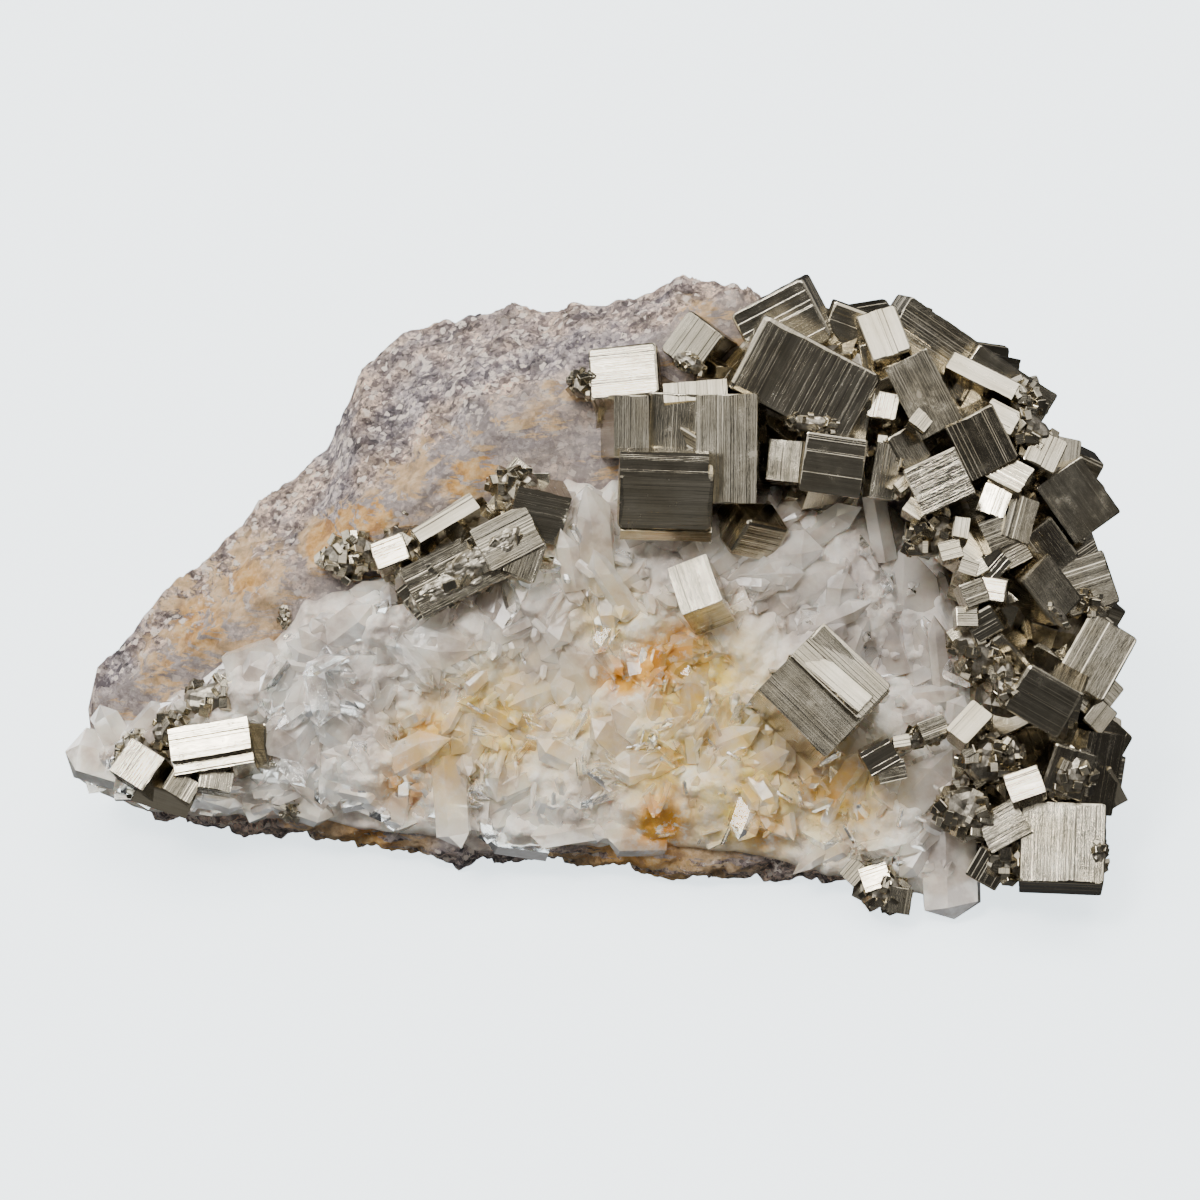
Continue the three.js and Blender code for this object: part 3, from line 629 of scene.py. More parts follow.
def quartz_bed_material():
    shader = Shader(
        "quartz_bed", Roughness=0.35, IOR=QUARTZ_IOR, Subsurface_Weight=0.5,
        Subsurface_Radius=(1.0, 0.84, 0.74), Subsurface_Scale=1.1 * MM)
    mm = shader.millimetres()
    fine = shader.noise(mm, 1.4, 5, 0.65)
    shader.set(shader.surface, {
        "Base Color": quartz_colour(shader, mm, 1.4),
        "Normal": shader.bump(fine, 0.5, 0.8),
    })
    return shader.material


def milky_material():
    shader = Shader(
        "quartz_milky", IOR=QUARTZ_IOR, Transmission_Weight=0.55, Subsurface_Weight=0.4,
        Subsurface_Radius=(1.0, 0.86, 0.76), Subsurface_Scale=1.2 * MM)
    mm = shader.millimetres()
    ripple = shader.noise(mm, 0.9, 4, 0.6)
    shader.set(shader.surface, {
        "Base Color": quartz_colour(shader, mm, 1.2),
        "Roughness": shader.ramp(shader.noise(mm, 0.5, 3, 0.6), (0.35, 0.08), (0.65, 0.26)),
        "Normal": shader.bump(ripple, 0.25, 0.4),
    })
    return shader.material


def clear_material():
    shader = Shader("quartz_clear", IOR=QUARTZ_IOR, Transmission_Weight=1.0)
    mm = shader.millimetres()
    ripple = shader.noise(mm, 1.4, 3, 0.6)
    tint = shader.mix(shader.attribute("yellow"), (0.97, 0.96, 0.94), (0.97, 0.86, 0.58))
    shader.set(shader.surface, {
        "Base Color": tint,
        "Roughness": shader.ramp(shader.noise(mm, 0.6, 3, 0.6), (0.4, 0.03), (0.7, 0.2)),
        "Normal": shader.bump(ripple, 0.2, 0.35),
    })
    return shader.material


def quartz_prism(random, root, along, length, width, flat, bluntness):
    """One crystal: an uneven six-sided prism from its root, with a slanted point."""
    side = np.cross(along, W)
    side /= np.linalg.norm(side)
    front = np.cross(side, along)
    roll = random.uniform(-0.5, 0.5)
    angles = np.arange(6) * math.pi / 3 + roll
    radii = width / 2 * random.uniform(0.8, 1.16, 6)
    across = np.outer(np.cos(angles) * radii, side) + np.outer(np.sin(angles) * radii * flat, front)
    point = min(width * bluntness, length * 0.45)
    shoulders = length - point * random.uniform(0.7, 1.3, 6)
    taper = random.uniform(0.86, 0.98)
    tip = root + along * length + (side * random.uniform(-0.16, 0.16) + front * 0.08) * width
    points = np.vstack([
        root + across,
        root + across * taper + np.outer(shoulders, along),
        tip[None],
    ])
    faces = [(k, (k + 1) % 6, 6 + (k + 1) % 6, 6 + k) for k in range(6)]
    faces += [(6 + k, 6 + (k + 1) % 6, 12) for k in range(6)]
    faces.append((5, 4, 3, 2, 1, 0))
    return points, faces


# The quartz crystals that stand out on their own: place on the show side, direction in the plane
# of the slope, lift out of it, length, width, thickness over width and height of the root above
# the crust, then whether the crystal is clear, and the length of its point over its width.
QUARTZ_CRYSTALS = [
    ((0, 1), 95, 14, 17, 6.6, 0.8, 2.5),
    ((-4, 1.5), 99, 10, 9.5, 3.8, 0.8, 1),
    ((4.8, -2.3), 123, 16, 12, 4, 0.8, 1),
    ((0.8, 1.5), 34, 22, 8.5, 4.6, 0.8, 1),
    ((-13, 2), 25, 12, 6.8, 4.4, 0.8, 0),
    ((0.5, -6), 105, 20, 9, 2, 0.8, 0.5, True),
    ((31, 9), 33, 16, 10, 4.6, 0.8, 1),
    ((42.8, 6), 101, 10, 14, 5, 0.8, 1.5),
    ((26, 10.5), 54, 14, 8, 4.4, 0.8, 0),
    ((25.5, 2.3), 169, 14, 8.4, 5.6, 0.8, 1),
    ((47, -5), 99, 9, 14, 13, 0.5, 1.5),
    ((44, -11), 107, 12, 12, 9, 0.6, 1),
    ((24, -1.5), 29, 10, 15, 6.4, 0.8, 0),
    ((30, -4.5), 22, 14, 12, 4.2, 0.8, 1),
    ((-30, -10), 47, 16, 12.5, 6.4, 0.5, 1),
    ((-31, -5), -15, 10, 14, 7.4, 0.6, 1),
    ((-31, -6), -48, 15, 10, 3.8, 0.8, 2, True),
    ((-21.5, -9.5), 8, 4, 21, 10, 0.6, 0.5),
    ((0, -14), 128, 14, 9, 7.4, 0.6, 1),
    ((-17, -31), 34, 13, 12.5, 7, 0.6, 1),
    ((-7, -23), -56, 12, 10.5, 8, 0.6, 1),
    ((-23, -20.5), -86, 5, 17, 7, 0.7, 0.5, False, 0.3),
    ((-31, -24.5), 28, 14, 10, 5.4, 0.8, 1),
    ((-27.8, -25.5), 171, 6, 14.5, 6.2, 0.8, 0.5),
    ((-40, -29), 142, 12, 10.5, 8, 0.6, 0),
    ((-47.5, -9), -125, 22, 6.4, 3.2, 0.8, 1, True),
    ((-41, -14), 216, 20, 10, 2.8, 0.8, 1, True),
    ((-38, -8), 205, 24, 8, 2.4, 0.8, 1, True),
    ((-72, -24.5), 165, 4, 8.5, 8.5, 0.7, 0.5, False, 0.25),
    ((-72.5, -21), 118, 8, 6, 5.6, 0.8, 0, False, 0.3),
    ((52, -10), -25, 16, 8, 4, 0.8, 3, True),
    ((51.5, -13.5), 97, 16, 12, 4, 0.8, 1.5),
    ((45, -31.5), 47, 10, 12.5, 8.6, 0.7, 1),
    ((52, -34), -88, 4, 14, 10, 0.7, 0.5, False, 0.2),
    ((48.5, -36), 191, 12, 12, 3.8, 0.8, 1, True),
    ((10.8, -6.8), -10, 14, 9, 4.6, 0.8, 0.5),
    ((17.9, -21.8), 22, 14, 7, 4.6, 0.8, 0.5),
    ((-4.5, -20.5), 58, 26, 6, 1.8, 0.8, 1, True),
    ((36, -36), 212, 10, 9, 3.6, 0.8, 0),
]

# Where the crust is a mat of needles instead of stout crystals: place, radius and strength.
NEEDLE_ZONES = [
    ((-12, -18), 9, 0.8),
    ((12, -12), 9, 1.0),
    ((15, -26), 12, 1.0),
    ((34, -28), 11, 1.0),
    ((2, -28), 8, 0.7),
    ((0, -6), 7, 0.6),
]

# How many stout crystals, splinters between them and needles are tried at random places, and the
# share of clear ones among the first two and among the needles.
QUARTZ_BLOCKS = 520
QUARTZ_SPLINTERS = 460
QUARTZ_NEEDLES = 700
CLEAR_SHARE = 0.18
CLEAR_NEEDLES = 0.45

# The stretch of the slope where they grow.
GROWTH_START = -77
GROWTH_END = 55


def along_slope(angle, lift):
    """A direction at angle in the plane of the slope, lifted out of it, both in degrees."""
    a, b = math.radians(angle), math.radians(lift)
    return math.cos(a) * math.cos(b) * U + math.sin(a) * math.cos(b) * V + math.sin(b) * W


def quartz_crystal_pieces(milky, clear):
    """The standing crystals, strewn small ones among them, as one milky and one clear mesh."""
    random = np.random.default_rng(11)
    meshes = {False: ([], []), True: ([], [])}

    def add(u, v, angle, lift, length, width, flat, out, is_clear=False, bluntness=0.75):
        root = place(u, v, crust_depth(np.array(u), np.array(v)) - width * 0.35 + out)
        along = along_slope(angle, lift)
        points, faces = quartz_prism(random, root, along, length, width, flat, bluntness)
        if points[:, 2].min() < BASE_CLEARANCE:
            return
        all_points, all_faces = meshes[is_clear]
        start = sum(len(p) for p in all_points)
        all_points.append(points)
        all_faces += [tuple(start + k for k in face) for face in faces]

    for (u, v), *rest in QUARTZ_CRYSTALS:
        add(float(u), float(v), *rest)

    def strew(count, lengths, widths, lifts, out, bluntness, zoned=False):
        """Crystals at random places, without those that would reach past the crust's edge."""
        for _ in range(count):
            u = random.uniform(GROWTH_START, GROWTH_END)
            low, high = outline_at(np.array(u))
            v = random.uniform(low + 0.4, high - 1)
            if zoned and random.uniform() > spots(place(u, v, 0)[None], NEEDLE_ZONES)[0]:
                continue
            length = random.uniform(*lengths)
            width = length * random.uniform(*widths)
            angle = 300 * noise(np.array([u / 9, v / 9, 2.5])[None])[0] + random.uniform(-60, 60)
            lift = random.uniform(*lifts)
            flat = random.uniform(0.55, 1.0)
            is_clear = random.uniform() < (CLEAR_NEEDLES if zoned else CLEAR_SHARE)
            tip_u = u + length * math.cos(math.radians(angle))
            tip_v = v + length * math.sin(math.radians(angle))
            tip_low, tip_high = outline_at(np.array(tip_u))
            if GROWTH_START < tip_u < GROWTH_END + 1 and tip_low + 0.8 < tip_v < tip_high:
                add(u, v, angle, lift, length, width, flat, out, is_clear, bluntness)

    strew(QUARTZ_BLOCKS, (4.5, 11.0), (0.35, 0.75), (2, 24), -0.4, 0.4)
    strew(QUARTZ_SPLINTERS, (2.2, 5.5), (0.3, 0.6), (5, 50), 0.2, 0.55)
    strew(QUARTZ_NEEDLES, (2.2, 5.5), (0.14, 0.22), (12, 60), 0.8, 0.8, zoned=True)

    made = []
    for name, material, is_clear in (
        ("quartz_crystals", milky, False),
        ("quartz_clear_crystals", clear, True),
    ):
        points = np.vstack(meshes[is_clear][0])
        faces = meshes[is_clear][1]
        made.append(mesh_object(name, points, faces, material, quartz_stains(points)))
    return made


# A pyrite face is made of flat strips with narrow slanted facets between them. Both widths are
# given as shares of the spacing; some strips are wider. Then the facets' slope, the share of
# facets that lead away from the face's level, how deep the grooves may go as a share of the
# crystal's size, and how far its edges are rounded as a share of its thickness.
STRIP_WIDTH = (0.2, 1.2)
WIDE_STRIP = 3.5
WIDE_STRIP_SHARE = 0.2
FACET_WIDTH = (0.03, 0.32)
STRIATION_SLOPE = math.tan(math.radians(17))
STRAY_FACETS = 0.3
STRIATION_RELIEF = 0.012
EDGE_ROUNDING = (0.04, 0.11)

# A face falls away near its edges: over how far, and by how much.
EDGE_BAND = 0.9
EDGE_FALL = 0.35

# How square the rough masses are: 2 would make them ellipsoids.
MASS_SQUARENESS = 3.0


def striated_profile(random, width, height, pitch, relief):
    """A cross-section whose two long sides run in flat strips and narrow slanted facets."""
    reach = 0.62 * width

    def side():
        phase = random.uniform(0, 40)
        y = -width / 2 - pitch
        level = height / 2 - relief
        line = [(-reach - pitch, level)]
        while y < width / 2 + pitch:
            strip = pitch * random.uniform(*STRIP_WIDTH)
            if random.uniform() < WIDE_STRIP_SHARE:
                strip *= WIDE_STRIP
            line.append((y, level))
            y += strip
            line.append((y, level))
            edge = max(0.0, abs(y) - width / 2 + EDGE_BAND) / EDGE_BAND
            wave = 0.5 + 0.5 * math.sin(y * 5 / width + phase)
            target = height / 2 - relief * wave - EDGE_FALL * edge ** 2 * min(1.0, width / 8)
            facet = pitch * random.uniform(*FACET_WIDTH)
            rise = 1 if level < target else -1
            if random.uniform() < STRAY_FACETS:
                rise = -rise
            level += rise * facet * STRIATION_SLOPE
            level = min(level, height / 2)
            y += facet
        line.append((max(reach, y) + pitch, level))
        return line

    return side() + [(y, -z) for y, z in reversed(side())]


def prism_object(profile, length, axes):
    """The profile, which lies in the first two axes, extruded along the third one."""
    n = len(profile)
    flat = np.array(profile)
    points = np.zeros((2 * n, 3))
    for k, z in enumerate((-length / 2, length / 2)):
        points[k * n:(k + 1) * n, axes[0]] = flat[:, 0]
        points[k * n:(k + 1) * n, axes[1]] = flat[:, 1]
        points[k * n:(k + 1) * n, axes[2]] = z
    faces = [tuple(range(n)), tuple(range(2 * n - 1, n - 1, -1))]
    faces += [(k, k + n, (k + 1) % n + n, (k + 1) % n) for k in range(n)]
    mesh = bpy.data.meshes.new("prism")
    mesh.from_pydata(points.tolist(), [], faces)
    mesh.update()
    return scene_object("prism", mesh)


def rounded_block(size, radius):
    """A block with its edges and corners rounded off."""
    shape = bmesh.new()
    bmesh.ops.create_cube(shape, size=1.0, matrix=Matrix.Diagonal((*size, 1.0)))
    bmesh.ops.bevel(shape, geom=shape.edges, offset=radius, segments=2, profile=0.5, affect="EDGES")
    mesh = bpy.data.meshes.new("block")
    shape.to_mesh(mesh)
    shape.free()
    return scene_object("block", mesh)


def striated_solid(random, size, pitch):
    """A cube or block with grooved faces: the part that three striated prisms share."""
    long, wide, deep = size
    relief = STRIATION_RELIEF * max(size)
    shapes = [
        prism_object(striated_profile(random, wide, deep, pitch, relief), long * 1.4, (1, 2, 0)),
        prism_object(striated_profile(random, deep, long, pitch, relief), wide * 1.4, (2, 0, 1)),
        prism_object(striated_profile(random, long, wide, pitch, relief), deep * 1.4, (0, 1, 2)),
        rounded_block(size, min(size) * random.uniform(*EDGE_ROUNDING)),
    ]
    for other in shapes[1:]:
        cut = shapes[0].modifiers.new("cut", "BOOLEAN")
        cut.operation = "INTERSECT"
        cut.solver = "MANIFOLD"
        cut.object = other
    evaluated = shapes[0].evaluated_get(bpy.context.evaluated_depsgraph_get())
    mesh = evaluated.to_mesh()
    points = np.array([v.co[:] for v in mesh.vertices])
    faces = [tuple(p.vertices) for p in mesh.polygons]
    normals = np.array([p.normal[:] for p in mesh.polygons])
    evaluated.to_mesh_clear()
    for made in shapes:
        data = made.data
        bpy.data.objects.remove(made)
        bpy.data.meshes.remove(data)
    return points, faces, normals


def small_crystal(size):
    """A plain block with its edges cut off."""
    shape = bmesh.new()
    bmesh.ops.create_cube(shape, size=1.0, matrix=Matrix.Diagonal((*size, 1.0)))
    bmesh.ops.bevel(shape, geom=shape.edges, offset=0.08 * min(size), segments=1, affect="EDGES")
    shape.normal_update()
    shape.verts.index_update()
    points = np.array([v.co[:] for v in shape.verts])
    faces = [tuple(v.index for v in f.verts) for f in shape.faces]
    normals = np.array([f.normal[:] for f in shape.faces])
    shape.free()
    return points, faces, normals


def crumpled_mass(reach, turn, centre, detail):
    """Massive pyrite: a rounded block of the given reach, its surface crushed into small facets."""
    shape = bmesh.new()
    bmesh.ops.create_icosphere(shape, subdivisions=detail, radius=1.0)
    ball = np.array([v.co[:] for v in shape.verts])
    faces = [tuple(v.index for v in f.verts) for f in shape.faces]
    shape.free()
    boxy = ball / (np.abs(ball) ** MASS_SQUARENESS).sum(axis=1, keepdims=True) ** (1 / MASS_SQUARENESS)
    points = (boxy * reach) @ turn.T + centre
    outward = (ball / reach) @ turn.T
    outward /= np.linalg.norm(outward, axis=1, keepdims=True)
    size = min(reach)
    crush = min(0.36 * size, 1.2) * (facets(points, 0.7 * size) - 0.6)
    crush += 0.3 * (facets(points, 1.3, 2.2) - 0.5)
    grain = 0.14 * (facets(points, 0.55, 6.1) - 0.5) + 0.04 * noise(points, 0.3)
    points = points + outward * (crush + grain)[:, None]
    corners = points[np.array(faces)]
    normals = np.cross(corners[:, 1] - corners[:, 0], corners[:, 2] - corners[:, 0])
    return points, faces, normals


def groove_coordinates(points, faces, normals, offset):
    """For each face corner: the way across the grooves, along them, and the crystal's own number."""
    across_of = {2: (1, 0), 0: (2, 1), 1: (0, 2)}
    rows = []
    for face, normal in zip(faces, normals):
        main = int(np.argmax(np.abs(normal)))
        across, along = across_of[main]
        for index in face:
            p = points[index]
            rows.append((p[across] + 40 * main, p[along], offset))
    return rows


# The pyrite crystals: place; turn as spin, yaw and tip; size along the grooves of the front face,
# across them and deep; and the grooves' spacing.
MAIN_CRYSTALS = [
    ((4, 32.7, -5), (6, -8, 20), (10.8, 8.8, 9), 0.9),
    ((3.7, 26, -1), (90, 14, 0), (9.4, 5.6, 8.7), 0.4),
    ((11.5, 27, -2.5), (86, -10, -4), (8.4, 7.6, 8), 0.3),
    ((20, 22.5, 0), (90, -12, 0), (16.5, 9.5, 12), 0.5),
    ((9.8, 16.9, 2), (-2, 0, -24), (14.3, 9.4, 12), 0.4),
    ((9.8, 12.7, 2.2), (-2, 0, -54), (13.8, 2.6, 8), 0.3),
    ((9.6, 20.7, 4.5), (-2, 0, -7), (13.4, 3.9, 10), 0.25),
    ((22.5, 11, -1), (-12, 28, -38), (8, 6.5, 8), 0.5),
    ((30.2, 33, -3), (62, 2, -4), (12.5, 20, 15), 0.13),
    ((27.8, 41.4, -8), (27, -8, -8), (12.4, 10.5, 11), 0.5),
    ((15, 38, -5), (54, -18, 6), (7.6, 7.2, 9), 0.6),
    ((14.5, 30.3, -0.5), (95, -6, 26), (3.4, 9.8, 5), 0.4),
    ((42.7, 38.6, -3), (-70, -6, 24), (8.4, 6.4, 7), 0.7),
    ((48.4, 36, -8), (-33, 10, -6), (16, 13.5, 10), 0.5),
    ((46.5, 42.6, -9), (-20, 10, -6), (5, 4.4, 5), 0.4),
    ((57.2, 32.2, -1), (-29, 0, 22), (11.5, 3.4, 7), 1.6),
    ((59.3, 30.8, -8), (-32, 8, -2), (14.5, 9, 12), 0.4),
    ((60, 26.6, 1), (-30, 0, 22), (5.4, 4.2, 5), 0.6),
    ((49, 30.6, 2), (-63, -10, 1), (12.3, 7.3, 9), 0.6),
    ((48, 26.6, 5.5), (50, 10, 20), (3.2, 3, 3), 0.4),
    ((42.5, 32, -1), (24, 20, -20), (5, 4.6, 5), 0.4),
    ((42.9, 28.4, 0.5), (80, -12, 18), (4.4, 4.6, 5), 0.4),
    ((56.3, 24.1, 2), (-62, 8, -8), (9.2, 8.2, 10), 0.3),
    ((51, 17.4, 5), (25, -6, 4), (8.6, 7.6, 9), 0.2),
    ((61.1, 17.9, 2.5), (-30, -6, 24), (7, 4.8, 7), 0.5),
    ((66, 21.2, 0), (62, 10, 20), (6, 5.4, 7), 0.5),
    ((70.6, 14.5, -4), (-55, 6, 4), (10.6, 8.8, 12), 0.3),
    ((59.4, 14.4, 3), (72, -12, 14), (5, 4.8, 5), 0.5),
    ((62, 11.6, 3), (70, 18, 12), (7, 4.6, 6), 0.5),
    ((59.3, 9.6, 4), (20, 20, 16), (6.8, 5, 6), 0.5),
    ((62.3, 6.8, 4), (28, 0, 8), (4, 3.6, 4), 0.4),
    ((54.5, 7, 3.5), (-38, 10, 22), (5.5, 5, 5), 0.4),
    ((54, 10.4, 6), (80, 4, 20), (3.6, 2.6, 3), 0.4),
    ((47.2, 13.2, 6), (-35, 0, 20), (3.2, 2.6, 3), 0.4),
    ((45.4, 17, 5), (40, 0, 18), (2.4, 2, 2.4), 0.4),
    ((52.5, 7.2, 6.5), (15, 0, 16), (3.4, 3, 3), 0.4),
    ((55, 4.6, 6.5), (-20, 10, 18), (2.8, 2.6, 3), 0.4),
    ((56.8, 4.4, 6), (30, -8, 20), (2.6, 2.4, 3), 0.4),
    ((58.6, 5.2, 4.5), (48, 6, -4), (5, 4, 4), 0.4),
    ((55.8, 0.8, 6), (20, 10, 10), (4, 3.8, 4), 0.4),
    ((59, 1.2, 5.5), (-10, -8, 12), (4.2, 3.6, 4), 0.4),
    ((54.8, -2.8, 6), (0, 8, 14), (3.4, 3.2, 3), 0.4),
    ((57.8, -3, 4), (30, -10, -16), (5, 4.6, 5), 0.4),
    ((65.1, 2, 1), (-47, 26, -6), (9.5, 6.5, 11), 0.35),
    ((71.6, 1.8, -5), (17, 12, 8), (8.6, 8.6, 10), 0.6),
    ((73.2, -9.2, -3.5), (58, 10, 10), (11.6, 8.7, 10.5), 0.7),
    ((67, -13.8, 4.5), (-31, -12, -16), (9.6, 8.4, 10), 0.4),
    ((74, -17.4, -3), (50, 16, 0), (4.6, 4, 6), 0.5),
    ((71.8, -25.3, -5), (84, 38, -8), (12.5, 8, 10), 0.15),
    ((69.3, -25.3, 1.5), (72, 10, -6), (7.6, 7, 8), 0.3),
    ((63.8, -28.2, 6), (20, -8, 18), (5.4, 4.6, 5), 0.5),
    ((69.3, -37.3, 0), (88, -4, 11), (12.5, 12.8, 13), 0.9),
    ((55.5, -19.2, 5.5), (50, -6, 24), (6.4, 4.2, 5), 0.6),
    ((61, -34, 2), (30, -14, 6), (7, 6, 7), 0.5),
    ((58.5, -39.6, -2), (60, -10, -10), (5.4, 5.4, 6), 0.5),
    ((41.9, -23.3, 4.5), (30, 0, -6), (5, 4.2, 4.4), 0.5),
    ((45.2, -21.4, 4.5), (10, 0, 18), (2.6, 1.8, 2.4), 0.4),
    ((43.4, -25.8, 4), (12, 8, 4), (4.4, 3.2, 4), 0.4),
    ((49.6, -19.4, 4), (20, 10, 10), (4.4, 3, 4), 0.4),
    ((34.5, 20.4, 0.5), (-8, 4, -4), (9.4, 9, 9), 0.35),
    ((28, 20.6, 0), (85, -10, 6), (6.4, 5, 6), 0.4),
    ((42.3, 19.2, 1.5), (80, 10, 2), (8.4, 4, 5), 0.4),
    ((37.5, 40.6, -9), (-20, 0, -6), (8, 7, 8), 0.5),
    ((38.5, 27.5, -1), (80, -14, -8), (7, 5, 6), 0.4),
    ((45.8, 22.6, 0.5), (-60, 10, 4), (6, 5, 6), 0.4),
    ((66.5, 8.5, -1), (-50, 14, -12), (8, 6, 7), 0.4),
    ((60.5, -8.4, 0), (-50, -10, -18), (8, 7, 8), 0.4),
    ((72.2, -13.2, -4.5), (-40, 20, -4), (8.4, 7.4, 8), 0.6),
    ((68.5, 7, -14), (20, 50, 10), (10, 9, 9), 0.5),
    ((72, -6, -15), (-20, 60, 0), (9, 8, 9), 0.5),
    ((71, -18, -17), (40, 65, -10), (9, 9, 9), 0.5),
    ((70.3, -32, -13), (10, 50, -20), (8, 7.5, 8), 0.5),
    ((58, 27, -18), (35, 40, 30), (10, 9, 9), 0.5),
    ((40, 39.5, -16), (15, 10, 50), (9, 8, 8), 0.5),
    ((64, 16, -17), (60, 50, 20), (8, 8, 8), 0.5),
]

# Knots of smaller crystals behind them: place and radius.
MAIN_LUMPS = [
    ((5, 29, -8), 8), ((13, 22, -6), 9), ((23, 30, -9), 11), ((33, 35, -13), 11),
    ((33, 20, -8), 9), ((42, 32, -10), 11), ((54, 28, -12), 13), ((56, 14, -6), 10),
    ((65, 16, -11), 12), ((62, 2, -7), 10), ((68, -4, -11), 11), ((64, -16, -6), 11),
    ((69, -24, -10), 11.5), ((65, -33, -8), 9.5), ((57, -30, -5), 8.5),
]

# Rough massive pyrite on and between the crystals: place, turn, and reach along each axis.
MAIN_MASSES = [
    ((-2.5, 32.3, -2.5), (0, 0, 0), (2.2, 2.4, 2)),
    ((13.3, 35.5, 0), (-30, 0, 0), (2.8, 1.3, 1.2)),
    ((64.5, 25.2, 0.5), (-50, 0, 0), (4.6, 3, 3)),
    ((63.3, 30, -0.5), (-30, 0, 0), (3.4, 2.6, 2.5)),
    ((32, 26.4, 3), (-8, 0, 0), (4.4, 1.6, 2)),
    ((68, -1.8, 4), (-48, 0, 0), (3.6, 1.2, 2)),
    ((73.2, -0.8, -1), (-10, 0, 0), (3, 2, 2)),
    ((60.8, -12.3, 6), (10, 0, 0), (2, 4, 3)),
    ((57.8, -24, 4.5), (40, 0, 0), (4.2, 3.8, 3.8)),
    ((61.8, -23, 5.5), (0, 0, 0), (1.6, 2.6, 2)),
    ((54.5, -31.5, 3.5), (0, 0, 0), (4, 4.4, 3.6)),
    ((70.2, -26, 3.2), (0, 0, 0), (3.8, 4, 3.4)),
    ((61.8, -38.4, 0.5), (0, 0, 0), (3.6, 3.8, 3.6)),
    ((74.6, -38.5, 5.6), (0, 0, 0), (1.5, 3, 2)),
    ((44, 20.5, 0), (20, 0, 0), (4.5, 5, 3)),
    ((50, 9.5, 3), (20, 0, 0), (4.5, 3.5, 3)),
    ((56.5, -8, 2), (-60, 0, 0), (5, 3.5, 3)),
    ((48, -20.5, 2.5), (20, 0, 0), (4.6, 1.8, 2)),
]
LONE_CUBE = [
    ((32.7, -14.6, 5.1), (-45, 4, 9), (14.4, 14.2, 16), 0.45),
    ((35.1, -12.1, 6.9), (-45, 8, 15), (14.0, 7.6, 12.4), 0.6),
    ((33.9, -13.6, 7.7), (-45, 8, 23), (13.4, 3.8, 12.2), 1.4),
]
LONE_MASSES = [((28.2, -9.9, 4.2), (45, 0, 0), (6.4, 0.8, 4))]
SMALL_CUBE = [((15.2, 0.8, 3.5), (-68, -14, 19), (8, 6.6, 10), 1.1)]
UPPER_LEFT_CRYSTALS = [
    ((-23.2, 10.8, 1.5), (34, 0, 24), (11, 3, 7), 1.6),
    ((-9.8, 13.8, -1), (-12, 10, -20), (8.6, 8, 8), 0.8),
    ((-31, 6.4, 1), (22, -10, 18), (5.4, 4.8, 6), 0.5),
    ((-12.5, 19, -2.5), (50, 0, 12), (3.4, 3, 4), 0.5),
    ((-20.8, 4.4, -0.6), (27, 4, 5), (17.6, 8.6, 10), 0.35),
    ((-14.4, 8.4, -0.2), (27, 8, 10), (9.6, 7.4, 10), 0.6),
    ((-25.8, 1.6, 0.2), (38, -6, -6), (7, 6, 8), 0.4),
    ((-12.2, 6, 0.4), (70, 14, 2), (6, 5.4, 8), 0.5),
]
UPPER_LEFT_LUMPS = [((-19, 8, -3), 8), ((-11, 14, -5), 6.5), ((-29, 7, -3), 5.5)]
UPPER_LEFT_MASSES = [
    ((-21.5, 2.6, 1.2), (25, 4, 4), (8.4, 2.6, 3.6)),
    ((-17, 6.8, 1.6), (30, 6, -4), (7.6, 2.6, 3.8)),
    ((-29.6, 6.6, 0), (27, 0, 0), (3, 3, 3)),
    ((-12.4, 16.6, -0.5), (-12, 0, 0), (4, 3.6, 3.4)),
    ((-37.5, 6.5, -1), (20, 0, 0), (5, 3.4, 2.4)),
]
LOWER_LEFT_CRYSTALS = [
    ((-57.9, -22, -4), (10, -6, 16), (12.4, 5.2, 10), 0.5),
    ((-57.3, -25.3, -3.4), (10, -6, 17), (12.2, 2.4, 8), 1.2),
    ((-68.6, -25.6, -2.5), (60, -14, 20), (6.2, 6.6, 6), 0.9),
    ((-65.2, -28.2, -4.8), (-24, -4, -38), (9, 4.4, 6), 0.6),
    ((-63, -28.2, -2.6), (58, 12, 12), (3.6, 5, 4), 0.7),
    ((-57.7, -27.4, -3.5), (80, 6, 12), (3.2, 5.2, 5), 0.5),
    ((-50.8, -21.5, -5.5), (0, -24, -6), (5, 7, 6), 0.4),
    ((-50.9, -8.2, -3.4), (-8, 0, 22), (3.8, 0.9, 2.2), 0.3),
]
LOWER_LEFT_LUMPS = [((-59, -21, -9), 7), ((-66, -26, -10), 6)]
LOWER_LEFT_MASSES = [
    ((-58, -14.8, -4.5), (10, 0, 0), (5.6, 3, 3)),
    ((-64.5, -19.5, -5), (30, 0, 0), (3.4, 2.4, 2.6)),
    ((-70.5, -22.6, -5.5), (60, 0, 0), (3.4, 1.8, 2.4)),
    ((-47.4, -2.6, -4.1), (0, 0, 0), (0.9, 1.7, 1)),
    ((-46.2, -31.5, -9.8), (0, 0, 0), (1.9, 1.7, 1.4)),
    ((-37, -30.5, -8.4), (0, 0, 0), (1.9, 0.9, 1.2)),
    ((-15, -35.5, -8.4), (0, 0, 0), (1.8, 1.3, 1.2)),
    ((-29, 13, -3.4), (0, 0, 0), (0.9, 0.7, 0.8)),
]
LOWER_EDGE_CRYSTALS = [
    ((41.5, -42, -2), (20, -10, 16), (4.4, 4, 4.4), 0.5),
    ((44.6, -45, -1.5), (80, 10, 0), (4, 3.6, 4), 0.5),
    ((38.6, -41, -3), (50, -20, 10), (3.6, 3.4, 4), 0.5),
]
LOWER_EDGE_LUMPS = [((42, -42.5, -4), 4.4)]
LOWER_EDGE_MASSES = [((42.6, -43.4, -2), (0, 0, 0), (3.4, 3, 3))]
